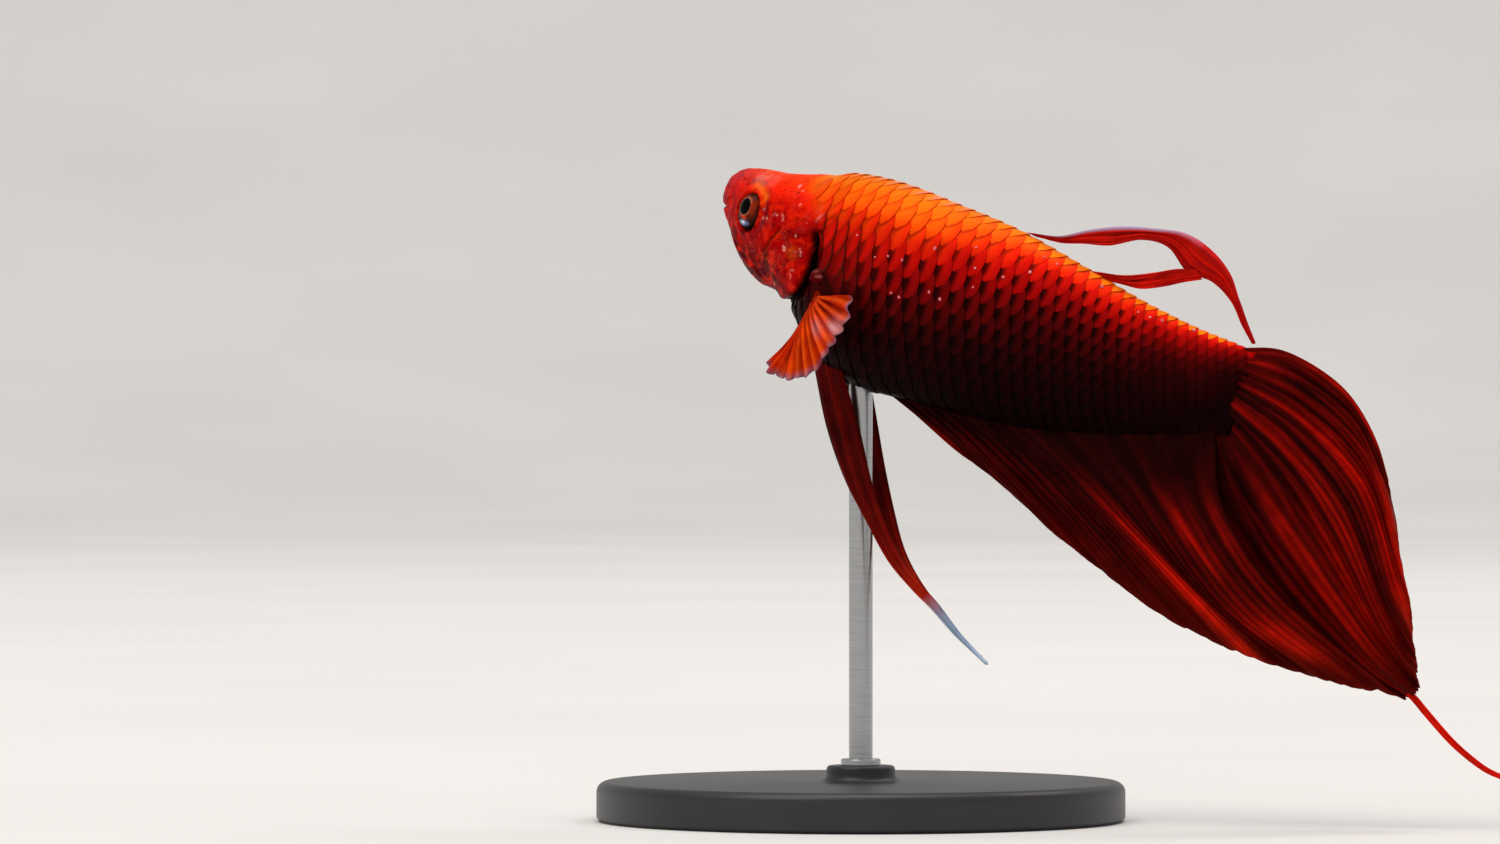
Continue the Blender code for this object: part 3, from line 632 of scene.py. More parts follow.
# Scales: one plate modelled, then laid in overlapping rows that follow the skin. Row 0 lies on the back, and
# each row down a side starts by a share of a step, "phase", behind the row above it. "overlap" is the length
# of a scale in steps and "width" its half width in rows. "root", "rise", "camber", "thick", "tipDown",
# "ridge" and "dip" lift or sink its parts, in mm.
coat = {"rows": 23, "firstStation": 8.0, "phase": 0.3, "overlap": 2.05, "width": 1.06, "root": -0.2,
        "rise": 0.21, "camber": 0.05, "thick": 0.04, "tipDown": 0.03, "ridge": 0.05, "dip": 0.7,
        "lastTip": 46.8, "lowTipsBack": 1.6, "underCover": 0.3, "napeAngle": 40, "nape": 10.2, "lobeGap": 0.9,
        "bars": 0.3, "toneAt": 0.75, "ownTone": 0.35, "lengthSpread": 0.04}
# the map that bakes the coat: each scale has a small patch, at its station and its share of the way round
coatMap = {"length": 50.0, "round": 0.48, "patch": 0.003}
# station, distance between the scales of one row
scaleSteps = np.array([(9.0, 0.95), (13.5, 1.08), (16.5, 1.24), (20.0, 1.3), (27.0, 1.2), (38.0, 0.92),
                       (48.0, 0.66)])


def modelScale():
    # a rounded grid with a wall, from -1 to 1 across and along
    bpy.ops.mesh.primitive_grid_add(x_subdivisions=6, y_subdivisions=5, size=2)
    plate = bpy.context.object
    for corner in plate.data.vertices:
        x, y = corner.co.x, corner.co.y
        corner.co.x = x * math.sqrt(1 - y * y / 2)
        corner.co.y = y * math.sqrt(1 - x * x / 2)
    solid = plate.modifiers.new("thick", "SOLIDIFY")
    solid.thickness = 1.0
    solid.offset = -1.0
    bpy.ops.object.modifier_apply(modifier="thick")
    corners = readCorners(plate)
    faces = [list(face.vertices) for face in plate.data.polygons]
    bpy.data.objects.remove(plate)
    return corners, faces


def scaleRoots():
    # the station, the row and the step of each scale that fits between gill cover, lobe and tail fin
    roots = []
    lastRow = coat["rows"] // 2
    for row in range(-lastRow, lastRow + 1):
        share = 2 * row / coat["rows"]
        tailEdge = coat["lastTip"] - coat["lowTipsBack"] * smooth(0.35, 1, abs(share))
        station = coat["firstStation"]
        while station < coat["lastTip"]:
            step = np.interp(station, *scaleSteps.T)
            root = station + step * (coat["phase"] * abs(row) % 1)
            _, height, _, _, degrees = skinFrame(root + step, share)
            front = coat["nape"]
            if degrees < coat["napeAngle"]:
                front = edgeStation(degrees) - coat["underCover"]
            fits = root + step > front and root + coat["overlap"] * step < tailEdge
            if fits and lobeDistance(root + step, height) >= coat["lobeGap"]:
                roots.append((root, row, step))
            station += step
    return roots


def coveredShare(dorsal, tone):
    # how far the scale before it and the two beside it reach over a scale; low on the side the two beside it
    # count less, so that the dark feet stand as upright bars
    beside = coat["bars"] * smooth(0.2, 0.38, tone)
    nextRow = 0.943  # half widths of a scale from its middle to that of the next row
    reaches = []
    for offset, centre in ((1, 0), (coat["phase"], nextRow), (1 - coat["phase"], -nextRow)):
        bow = np.sqrt(np.maximum(1 - (dorsal - centre) ** 2, 0))
        reaches.append(0.5 - offset / coat["overlap"] + 0.5 * bow - beside * abs(centre))
    return np.max(reaches, 0)


def makeScales():
    corners, faces = modelScale()
    across, along, depth = corners[:, 0], (corners[:, 1] + 1) / 2, corners[:, 2]
    rim = np.hypot(corners[:, 0], corners[:, 1])
    # one line of each table for a scale, one column for a corner of it
    root, row, step = np.array(scaleRoots()).T[..., None]
    chance = np.random.default_rng(5).random(len(root))[:, None]
    rowShare = 2 * row / coat["rows"]
    share = rowShare + across * (coat["width"] * 2 / coat["rows"])
    length = coat["overlap"] * step * (1 + coat["lengthSpread"] * (chance - 0.5))
    station = np.minimum(root + along * length, bodyEnd)
    patch = np.stack([(root + step) / coatMap["length"] + (along - 0.5) * coatMap["patch"],
                      0.5 + coatMap["round"] * rowShare + across * coatMap["patch"] / 2], -1)
    share = (share + 1) % 2 - 1
    dorsal = np.where(row == 0, -np.abs(across), -np.sign(row) * across)
    # the tone is mostly one over a whole scale
    near = coat["ownTone"] * np.abs(share) + (1 - coat["ownTone"]) * np.abs(rowShare)
    tone = toneOf(root + coat["toneAt"] * coat["overlap"] * step, near)
    side, height, outSide, outHeight, degrees = skinFrame(station, share)
    marks = skinMarks(station, height, degrees, np.abs(share), slitShade=0.0)
    marks.update(place=(tone, station, dorsal), plate=(along - coveredShare(dorsal, tone), rim, chance))
    lift = coat["root"] + coat["rise"] * along - coat["camber"] * across ** 2 + depth * coat["thick"]
    lift = lift - coat["tipDown"] * smooth(0.85, 1.0, along) + coat["ridge"] * (row == 0) * along ** 2
    # the first scales dip under the skin in the gill slit
    lift = lift - coat["dip"] * gillSlit(station - edgeStation(degrees), degrees, 0.45, 0.85)
    points = (bodyPoint(station, side + lift * outSide, height + lift * outHeight) + fishShift) * mm
    mesh = bpy.data.meshes.new("scales")
    mesh.from_pydata(points.reshape(-1, 3), [], [[corner + k * len(corners) for corner in face]
                                                 for k in range(len(root)) for face in faces])
    scales = bpy.data.objects.new("scales", mesh)
    bpy.context.collection.objects.link(scales)
    for name, value in marks.items():
        addMark(mesh, name, np.stack(np.broadcast_arrays(*value), -1))
    loops = np.empty(len(mesh.loops), np.int32)
    mesh.loops.foreach_get("vertex_index", loops)
    mesh.uv_layers.new(name="OFBake").data.foreach_set("uv", patch.reshape(-1, 2)[loops].ravel())
    bpy.context.view_layer.objects.active = scales
    scales.select_set(True)
    closeMesh(crease=60)
    return scales


scales = makeScales()
finishPiece(scales, scaleFinish, "body_skin")
print("scales made", len(scales.data.polygons))


# Pearl spots: a few tiny raised pale dots on single scales of both sides, at (station, height).
pearl = {"radius": 0.11, "flat": 0.5, "sizes": 4, "smallest": 0.8, "sizeStep": 0.15}
pearlPlaces = [
    (18.06, 1.26), (19.06, 1.65), (20.23, 1.71), (22.33, 3.3), (25.2, 4.28), (25.8, 2.84), (28.03, 2.85),
    (29.7, 3.77), (30.03, 5.05), (31.13, 4.87), (23.0, 0.06), (23.96, -0.18), (26.16, 1.46), (20.06, -0.93),
    (20.76, -1.04), (34.86, 4.32), (38.13, 3.35), (39.07, 3.27), (39.97, 3.31), (42.37, 3.33), (16.06, 2.37)]


def makePearls():
    domes = []
    for k, (station, height) in enumerate(pearlPlaces):
        back, belly, _, middle = hermite(sectionKeys, bodySections[:, 1:], np.sqrt(station - snout))
        turn = math.asin((height - middle) / (back - middle if height > middle else middle - belly))
        size = pearl["smallest"] + pearl["sizeStep"] * (k % pearl["sizes"])
        for angle in (turn, math.pi - turn):
            side, rise, outSide, outHeight = skinCross(station, angle)
            foot = bodyPoint(station, side, rise)
            out = bodyPoint(station, side + outSide, rise + outHeight) - foot
            bpy.ops.mesh.primitive_ico_sphere_add(
                subdivisions=2, radius=pearl["radius"] * size * mm, location=(foot + fishShift) * mm,
                rotation=Vector(out).to_track_quat("Z", "Y").to_euler(), scale=(1, 1, pearl["flat"]))
            bpy.ops.object.shade_smooth()
            domes.append(bpy.context.object)
    for dome in domes:
        dome.select_set(True)
    bpy.ops.object.join()
    bpy.ops.object.transform_apply(location=True, rotation=True, scale=True)
    bpy.context.object.name = "pearlSpots"
    return bpy.context.object


def makePearlFinish():
    # pale pink and faintly shiny, like tiny crystals under skin
    finish, place, add = newFinish("pearlPigment")
    cloud = add("TexNoise", {"Vector": place, "Scale": 1000 / 0.2, "Detail": 2.0})
    shade = add("ValToRGB", [cloud], stops=[(0.35, "#D84458"), (0.6, "#F08C8C")])
    return setSurface(finish, add, shade, cloud, 0.2, 0.02, Roughness=0.35, Specular_IOR_Level=0.3)


finishPiece(makePearls(), makePearlFinish(), "body_skin")
print("pearls made")


# Fins: thin closed sheets, drawn through a few key rays of (station, side, height) from root to margin.
def through(points, share):
    # a smooth curve through the points
    last = len(points) - 1
    at = np.clip(share, 0, 1) * last
    k = np.minimum(at.astype(int), last - 1)
    t = (at - k)[..., None]
    ends = np.concatenate([[2 * points[0] - points[1]], points, [2 * points[-1] - points[-2]]])
    if points.ndim == 2:
        before, low, high, after = (ends[k + n] for n in range(4))
    else:
        before, low, high, after = (
            np.take_along_axis(ends, (k + n)[None, ..., None], 0)[0] for n in range(4))
    return 0.5 * (2 * low + t * (high - before) + t ** 2 * (2 * before - 5 * low + 4 * high - after)
                  + t ** 3 * (3 * low - 3 * high + after - before))


def finPlace(keyRays, u, v):
    # u runs over the rays and v out along them; below 0 it goes straight on into the body
    rays = [np.array(ray, float) for ray in keyRays]
    near = 0.02
    root = through(np.stack([ray[0] + 0 * v[..., None] for ray in rays]), u)
    step = through(np.stack([through(ray, near + 0 * v) for ray in rays]), u) - root
    place = through(np.stack([through(ray, v) for ray in rays]), u)
    return place + np.minimum(v, 0)[..., None] * step / near


# how far the branches of the first and of the second fork part, as shares of the distance between rays
forkSpreads = (0.25, 0.12)


def rayHeight(u, v, fin):
    # 0 between rays, 1 on a ray; each ray forks on its way out
    at = u * fin["rays"]
    away = at - np.floor(at) - 0.5
    for fork, spread in zip(fin["forks"], forkSpreads):
        away = np.abs(away) - spread * smooth(fork, fork + 0.45, v)
    return hill(away, 0.17 * (1 - 0.25 * smooth(0.2, 0.9, v)))


def makeFin(name, fin, mirror=1):
    def place(s, t):
        # the front of the sheet first, then its rear back to the start
        half = fin["across"] + 1
        u = np.minimum(2 * s, 2 - 2 * s)[:, :half]
        v = (fin["root"] + (1 - fin["root"]) * t)[:, :half]
        out = np.clip(v, 0, 1)
        # uneven scallops along the margin
        scallops = np.abs(np.sin(math.pi * fin["scallops"] * (u + 0.01 * np.sin(u * 23.0))))
        fray = 1 - scallops ** fin["scallopShape"]
        fray = fray + 0.6 * np.sin(u * 29.0 + 3 * np.sin(u * 13.0)) * (fin["scallops"] > 0)
        station, side, height = np.moveaxis(
            finPlace(fin["keys"], u, v * (1 - fin["notch"] * fray * out ** fin["notchFrom"])), -1, 0)
        # broad folds, and pleats that wander a little
        pleat = 2 * math.pi * fin["pleats"] * u + 1.3 * np.sin(5 * u + 2.1 * out) + 0.6 * np.sin(11 * u)
        side = side + fin["foldDepth"] * out * np.sin(2 * math.pi * fin["folds"] * u)
        side = side + fin["pleatDepth"] * smooth(0.02, 0.35, out) * np.sin(pleat)
        middle = bodyPoint(station, mirror * side, height)
        ray = rayHeight(u, out, fin)
        thick = fin["thick"] * (1 - 0.45 * out) + fin["ribs"] * ray * (1 - 0.55 * out)
        thick[:, [0, -1]] = 0
        thick[[0, -1]] = 0
        wall = gridNormals(middle) * thick[..., None] / 2
        points = np.concatenate([middle + wall, (middle - wall)[:, -2::-1]], 1)
        glow = sum(strength * hill(np.hypot((u - atU) / wideU, (v - atV) / wideV), 1)
                   for atU, wideU, atV, wideV, strength in fin["glow"])
        marks = [np.concatenate([value, value[:, -2::-1]], 1) for value in (u, v, ray, np.clip(glow, 0, 1))]
        return points, {"fin": marks[:3], "glow": (marks[3], marks[0], marks[1])}
    return gridPiece(name, 2 * fin["across"], fin["along"], place)


# Colours of the fins: the web and the rays from root to margin, "lightAndShade" the painted light that lit
# bundles of rays take (on the pectoral fins painted shade in the creases), how many bundles, how much of it
# shows everywhere ("rest") and how strong it is ("wash").
# the near-black of the long fins' webs is painted shade of a thin red membrane with no light through it
longColours = {
    "web": [(0.0, "#160202"), (0.2, "#180101"), (0.8, "#160101"), (0.97, "#220202"), (1.0, "#400505")],
    "ray": [(0.0, "#4A0604"), (0.12, "#B80E04"), (0.4, "#D01404"), (0.75, "#E81C04"), (1.0, "#E02A0C")],
    "lightAndShade": "#CC1002", "bundles": 16.0, "rest": 0.13, "wash": 0.42}
analColours = dict(longColours, rest=0.06, wash=0.35, ray=[
    (0.0, "#240303"), (0.2, "#4A0604"), (0.4, "#C01204"), (0.75, "#E81C04"), (1.0, "#E02A0C")])
dorsalColours = {
    "web": [(0.0, "#A00A0A"), (0.3, "#7A060A"), (0.7, "#980A0A"), (1.0, "#A80C0A")],
    "ray": [(0.0, "#F82C0A"), (0.5, "#F41C08"), (1.0, "#F01808")],
    "lightAndShade": "#F41C08", "bundles": 5.0, "rest": 0.8, "wash": 0.5}
streamerColours = dict(dorsalColours, web=[(0.0, "#A01008"), (1.0, "#C81C10")])
# on the pectoral fins the bundles are painted shade in the creases between the pleats, and the pale lilac of
# the margin and "fold" are painted highlights, "fold" where the margin folds over
fanColours = {
    "web": [(0.0, "#A01404"), (0.3, "#D02A04"), (0.9, "#E84006"), (1.0, "#8A6480")],
    "ray": [(0.0, "#F04A0A"), (0.5, "#FF5C0A"), (0.92, "#FF6610"), (0.98, "#D89898"), (1.0, "#C8A8BC")],
    "lightAndShade": "#8C0E04", "bundles": 10.0, "rest": 0.9, "wash": 0.65, "fold": "#E0A4A8"}
pelvicColours = {
    "web": [(0.0, "#400505"), (0.15, "#380303"), (0.45, "#520505"), (0.7, "#9C1A0C"), (0.8, "#8AA4C0"),
            (1.0, "#A8C8E0")],
    "ray": [(0.0, "#6A0806"), (0.15, "#600605"), (0.45, "#A01606"), (0.7, "#E84018"), (0.8, "#A8C0D8"),
            (1.0, "#C4DCEC")],
    "lightAndShade": "#C82408", "bundles": 3.0, "rest": 0.5, "wash": 0.2}
lilacEdge = {"from": 0.06, "to": 0.24, "colour": "#C8B4D8", "along": [
    (0.0, "#000000"), (0.1, "#FFFFFF"), (0.42, "#FFFFFF"), (0.58, "#202020"), (1.0, "#000000")]}


def makeFinFinish(name, colours, rayTone, edge=None):
    # fin membrane: soft webs between brighter rays, satin like wet silk
    finish, place, add = newFinish(name)
    u, v, ray = readMark(add, "fin")
    glow = readMark(add, "glow")[0]
    web, line = (add("ValToRGB", [v], stops=colours[part]) for part in ("web", "ray"))
    # the bundles of rays and the fine grain are noises drawn out along the rays
    noises = {}
    for part, acrossRays, alongRays, settings in (
            ("bundle", colours["bundles"], 2.2, {"Detail": 3.0, "Roughness": 0.6}),
            ("grain", 220.0, 6.0, {"Detail": 2.0})):
        drawn = [add("Math", [at, share], **times) for at, share in ((u, acrossRays), (v, alongRays))]
        noises[part] = add("TexNoise", {"Vector": add("CombineXYZ", drawn), "Scale": 1.0, **settings})
    streak = add("MapRange", [noises["bundle"], 0.36, 0.64], **smoothStep)
    # painted light on the bundles of rays in the lit patches; on the pectoral fins, painted shade in the
    # creases
    lightAndShade = add("MapRange", {0: streak, 3: 0.4, 4: 1.0})
    lightAndShade = add("Math", [lightAndShade, glow], **times)
    rest = add("Math", [streak, colours["rest"]], **times)
    lightAndShade = add("Math", [lightAndShade, rest], use_clamp=True, **plus)
    bright = add("MapRange", {0: lightAndShade, 3: rayTone[0], 4: rayTone[1]})
    onRay = add("Math", [ray, bright], **times)
    wash = add("Math", [lightAndShade, colours["wash"]], **times)
    shade = addLayers(add, web, [(onRay, line), (wash, colours["lightAndShade"])])
    mist = add("TexNoise", {"Vector": place, "Scale": 1000 / 1.4, "Detail": 3.0})
    mist = add("MapRange", [mist, 0.3, 0.7, 0.8, 1.2])
    shade = add("HueSaturation", {"Value": mist, "Color": shade})
    # a painted highlight where the pectoral fin's margin folds over
    if "fold" in colours:
        shade = addLayers(add, shade, [(glow, colours["fold"])])
    if edge:
        across = add("MapRange", [u, edge["from"], edge["to"], 1.0, 0.0], **smoothStep)
        along = add("ValToRGB", [v], stops=edge["along"])
        onEdge = add("Math", [across, along], **times)
        shade = addLayers(add, shade, [(onEdge, edge["colour"])])
    return setSurface(finish, add, shade, noises["grain"], 0.35, 0.05,
                      Metallic=0.1, Roughness=0.5, Specular_IOR_Level=0.02)


# "root" is how far a fin starts inside the body, as a share of its length. "forks" are the shares of a ray at
# which it forks. "glow" holds the lit patches: place and half width over the rays, the same out along them,
# strength.
flowing = {"across": 200, "along": 110, "root": -0.05, "forks": (0.12, 0.5), "thick": 0.14, "ribs": 0.16,
           "scallops": 22, "scallopShape": 0.8, "notch": 0.009, "notchFrom": 12}

caudalFin = dict(flowing, rays=13, folds=4.5, foldDepth=0.4, pleats=13, pleatDepth=0.1, keys=[
    [(45.6, 0, 3.0), (49.2, 0.3, 3.9), (53.8, 0.6, 2.8), (57.1, 0.8, 0.3), (59.3, 1, -2.8)],
    [(45.6, 0, 1.4), (51.5, 0.2, 0.5), (57.6, 0.3, -2.6), (61.8, 0.3, -8.2), (63.8, 0.3, -11)],
    [(45.6, 0, -0.1), (51.7, -0.3, -2.2), (57.2, -0.5, -5.8), (62.2, 0, -11.9), (65.6, 0.4, -14.9)],
    [(45.6, 0, -1.8), (50.2, 0.5, -5), (55.1, 1.2, -8.9), (62, 1.2, -14.4), (66.4, 0.8, -16.9)],
    [(45.6, 0, -3.3), (47.0, 0.9, -8.6), (53.4, 1.8, -14.3), (60.6, 1.8, -17.1), (65.5, 1.2, -17.9)]],
    glow=[(0.0, 0.02, 0.5, 0.5, 1.0), (0.2, 0.09, 0.82, 0.24, 1.0), (0.33, 0.04, 0.5, 0.45, 0.75),
          (0.56, 0.035, 0.25, 0.3, 0.85), (0.7, 0.04, 0.6, 0.15, 0.5), (0.81, 0.03, 0.5, 0.25, 0.55),
          (0.1, 0.1, 0.1, 0.12, 0.5)])
analFin = dict(flowing, rays=16, folds=4.5, foldDepth=0.3, pleats=16, pleatDepth=0.1, keys=[
    [(19.0, 0, -8.6), (22.6, -0.2, -9.6), (26.6, -0.4, -10.9), (30.4, -0.6, -11.6)],
    [(23.5, 0, -8.2), (28.3, -0.2, -10.0), (33.4, -0.6, -12.3), (38.5, -0.9, -14.9)],
    [(27.5, 0, -7.8), (33.3, -0.2, -10.3), (39.9, -0.4, -13.7), (46.5, -0.7, -17.5)],
    [(31.5, 0, -7.2), (37.9, -0.4, -10.2), (45.4, -0.9, -13.9), (53.7, -1.4, -18.35)],
    [(38.0, 0, -5.7), (43.1, -0.6, -9.7), (51.0, -1.1, -15.3), (60.0, -1.4, -18.2)],
    [(46.1, -0.1, -3.3), (48.7, -0.9, -8.6), (54.8, -1.5, -13.3), (65.2, -1.3, -17.6)]],
    glow=[(0.0, 0.03, 0.55, 0.12, 0.9), (0.61, 0.035, 0.75, 0.4, 1.0), (0.86, 0.03, 0.4, 0.15, 0.7),
          (0.97, 0.02, 0.5, 0.3, 0.5), (0.87, 0.06, 0.8, 0.1, 0.6)])
dorsalBase = dict(flowing, across=36, along=150, rays=6, forks=(), folds=0.5, foldDepth=0.1, pleats=3,
                  pleatDepth=0.05, ribs=0.2, scallops=0, notch=0.0, root=-0.02)
dorsalFront = dict(dorsalBase, keys=[
    [(27.9, 0, 6.3), (30.2, 0, 6.8), (32.4, 0, 8.0), (34.6, 0, 8.95), (36.9, 0.1, 9.5), (39.4, 0.2, 9.9),
     (41.6, 0.4, 9.3), (43.4, 0.6, 8.1), (44.6, 0.8, 6.5), (45.8, 0.9, 4.9), (46.8, 0.9, 3.7)],
    [(28.6, 0, 6.15), (30.4, 0, 6.3), (32.2, 0, 6.8), (34.2, 0, 7.3), (36.2, 0.1, 8.4), (38.4, 0.2, 8.5),
     (40.3, 0.4, 7.2), (42.3, 0.6, 7.05), (44.1, 0.8, 6.1), (45.4, 0.9, 4.7), (46.6, 0.9, 3.6)]],
    glow=[(0.1, 0.3, 0.62, 0.15, 0.8), (0.5, 0.4, 0.2, 0.15, 0.5)])
dorsalRear = dict(dorsalBase, along=60, root=-0.12, keys=[
    [(33.9, 0, 5.15), (36.0, -0.1, 5.55), (38.0, -0.1, 6.4), (39.6, 0, 7.2), (41.0, 0.3, 7.6)],
    [(35.7, 0, 4.8), (37.4, -0.1, 4.95), (39.0, -0.1, 5.6), (40.4, 0, 6.4), (41.6, 0.3, 7.0)]],
    glow=[(0.8, 0.4, 0.4, 0.4, 0.5)])
pelvicBase = dict(flowing, across=24, along=160, rays=3, forks=(), folds=0, foldDepth=0, pleats=1.5,
                  pleatDepth=0.12, thick=0.22, ribs=0.26, scallops=0, notch=0.0, root=-0.06,
                  glow=[(0.9, 0.5, 0.55, 0.22, 0.5), (0.5, 0.5, 0.7, 0.08, 0.7)])
pelvicLeft = dict(pelvicBase, keys=[
    [(13.7, -1.4, -8.9), (16.6, -2, -12.7), (19.6, -2.3, -15.9), (22.4, -2.4, -18.2), (24.9, -2.3, -20.3),
     (27.1, -2.1, -21.6), (29.3, -1.8, -22.7), (32.25, -1.6, -24.15), (35.0, -1.4, -25.3)],
    [(17, -1.7, -8.9), (19.5, -2, -11.9), (21.9, -2.3, -15.3), (23.9, -2.4, -17.7), (26, -2.3, -19.8),
     (27.8, -2.1, -21.1), (29.8, -1.8, -22.2), (32.45, -1.6, -23.9), (35.02, -1.4, -25.24)]])
pelvicRight = dict(pelvicBase, keys=[
    [(13.7, 1.4, -8.9), (15.5, 1.9, -13), (18, 2.1, -16.5), (20.3, 2.1, -19), (23, 1.9, -21.1),
     (25.4, 1.8, -22.5), (28, 1.6, -23.4), (30.75, 1.5, -24.6), (33.4, 1.3, -25.45)],
    [(17, 1.7, -8.9), (18.7, 1.9, -12.1), (20.2, 2.1, -14.9), (22, 2.1, -17.6), (23.9, 1.9, -19.9),
     (25.8, 1.8, -21.5), (28.2, 1.6, -22.9), (30.95, 1.5, -24.4), (33.42, 1.3, -25.39)]])
pectoralFin = dict(flowing, across=150, along=60, rays=12, forks=(), folds=3, foldDepth=0.1, pleats=12,
                   pleatDepth=0.24, thick=0.13, scallops=12, scallopShape=1.0, notch=0.04, notchFrom=5,
                   root=-0.15, glow=[(0.66, 0.05, 0.62, 0.12, 0.5), (0.8, 0.05, 0.86, 0.14, 0.75)], keys=[
    [(14.0, 4.4, -3.45), (13.9, 4.7, -5.2), (13.2, 5.1, -7.2), (12.1, 5.4, -9.1)],
    [(14.1, 4.4, -3.45), (13.95, 4.8, -5.3), (13.9, 5.4, -7.4), (13.3, 5.7, -9.8)],
    [(14.2, 4.4, -3.4), (14.1, 4.9, -5.0), (14.7, 5.7, -7.0), (15.4, 6.0, -9.4)],
    [(14.25, 4.4, -3.3), (14.35, 5, -4.6), (15.4, 5.7, -6.2), (16.9, 6.2, -8.4)],
    [(14.3, 4.4, -3.2), (14.7, 4.9, -4.1), (16.0, 5.6, -5.2), (17.6, 5.9, -6.4)],
    [(14.35, 4.4, -3.1), (15.0, 4.8, -3.4), (16.5, 5.2, -3.9), (18.0, 5.4, -4.3)],
    [(14.4, 4.4, -3.0), (15.2, 4.6, -2.7), (16.4, 4.9, -2.25), (17.6, 5, -1.9)]])
streamerLine = [(65.6, 0.9, -17.2), (66.5, 0.9, -17.7), (67.6, 0.9, -18.4), (70, 1.2, -19.8),
                (72.4, 1, -20.7), (74, 0.6, -20.9), (75.4, 0.2, -20.8)]
# its two edges come together a little towards the tip
streamer = dict(pelvicBase, along=80, pleatDepth=0.04, root=0.0, thick=0.26, glow=[(0.5, 1, 0.5, 1, 0.8)])
streamer["keys"] = [
    [(a + up * 0.12, side, h + up * (0.24 - 0.1 * k / 6)) for k, (a, side, h) in enumerate(streamerLine)]
    for up in (1, -1)]

# the finish of each membrane, by how bright its rays are at rest and under the painted light and shade
longFinish = makeFinFinish("tailMembrane", longColours, (0.06, 1.0))
analFinish = makeFinFinish("analMembrane", analColours, (0.06, 1.0))
dorsalFinish = makeFinFinish("dorsalMembrane", dorsalColours, (0.25, 0.9))
lilacFinish = makeFinFinish("lilacEdgedMembrane", dorsalColours, (0.25, 0.9), lilacEdge)
fanFinish = makeFinFinish("pectoralMembrane", fanColours, (0.5, 1.0))
pelvicFinish = makeFinFinish("pelvicMembrane", pelvicColours, (0.2, 1.0))
streamerFinish = makeFinFinish("streamerMembrane", streamerColours, (0.4, 1.0))
for name, fin, finish, slot, mirror, node in (
        ("caudalFin", caudalFin, longFinish, "long_fins", 1, "caudal_fin"),
        ("analFin", analFin, analFinish, "long_fins", 1, "anal_fin"),
        ("dorsalFront", dorsalFront, lilacFinish, "long_fins", 1, "dorsal_fin_front"),
        ("dorsalRear", dorsalRear, dorsalFinish, "long_fins", 1, "dorsal_fin_rear"),
        ("tailStreamer", streamer, streamerFinish, "long_fins", 1, "caudal_streamer"),
        ("pelvicLeft", pelvicLeft, pelvicFinish, "long_fins", 1, "pelvic_fin_left"),
        ("pelvicRight", pelvicRight, pelvicFinish, "long_fins", 1, "pelvic_fin_right"),
        ("pectoralLeft", pectoralFin, fanFinish, "pectoral_fins", -1, "pectoral_fin_left"),
        ("pectoralRight", pectoralFin, fanFinish, "pectoral_fins", 1, "pectoral_fin_right")):
    finishPiece(makeFin(name, fin, mirror), finish, slot, node)
print("fins made")


# Eyes: a ball flattened outwards, with a bulging lens, a raised ring round it and a sunk iris.
eye = {"station": 5.02, "height": 0.88, "side": 2.5, "radius": 1.22, "upRadius": 1.41, "depth": 0.78,
       "yaw": math.radians(15), "pupil": 0.58, "pupilUp": 0.66, "pupilAt": (0.1, 0.38), "lensRise": 0.08,
       "ringRise": 0.03, "irisSink": 0.05}


def makeEye(name, mirror):
    bpy.ops.mesh.primitive_uv_sphere_add(segments=96, ring_count=80, radius=1)
    ball = bpy.context.object
    ball.name = name
    ball.data.name = name
    x, y, z = readCorners(ball).T
    back, up = x * eye["radius"], y * eye["upRadius"]
    pupilBack, pupilUp = back - eye["pupilAt"][0], up - eye["pupilAt"][1]
    # 1 at the rim of the pupil
    away = np.hypot(pupilBack / eye["pupil"], pupilUp / eye["pupilUp"])
    rise = eye["lensRise"] * np.sqrt(np.maximum(1 - away ** 2, 0)) + eye["ringRise"] * hill(away - 1.1, 0.1)
    rise -= eye["irisSink"] * smooth(1.1, 1.3, away) * smooth(2.2, 1.8, away)
    out = z * eye["depth"] + smooth(0.0, 0.3, z) * rise
    side = eye["side"] + out * math.cos(eye["yaw"]) + back * math.sin(eye["yaw"])
    station = eye["station"] + back * math.cos(eye["yaw"]) - out * math.sin(eye["yaw"])
    places = bodyPoint(station, mirror * side, eye["height"] + up)
    ball.data.vertices.foreach_set("co", ((places + fishShift) * mm).ravel())
    addMark(ball.data, "iris", np.stack([pupilBack, pupilUp, z], -1))
    closeMesh()
    return ball


# colour patches on the iris: centre and half size in mm from the pupil, turn in degrees, core and rim, shade
irisPatches = [
    ((0.0, 1.15), (1.3, 0.4), 0, 0.3, 1.0, "#1C1206"),
    ((0.72, 0.1), (0.3, 0.85), 8, 0.3, 1.1, "#9A2C12"),
    ((1.2, 0.0), (0.5, 1.2), 0, 0.2, 1.0, "#4C0A06"),
    ((0.05, -0.82), (0.46, 0.2), 0, 0.3, 1.1, "#E83C18"),
    ((-0.5, -0.3), (0.2, 0.5), 20, 0.2, 1.1, "#8C2C14"),
    # partly silvery iris and partly painted reflection, and in it a painted white highlight
    ((0.04, -1.26), (0.66, 0.27), 8, 0.5, 1.1, "#7C90C0"),
    ((-0.02, -1.24), (0.36, 0.16), 8, 0.3, 1.1, "#FFFFFF")]


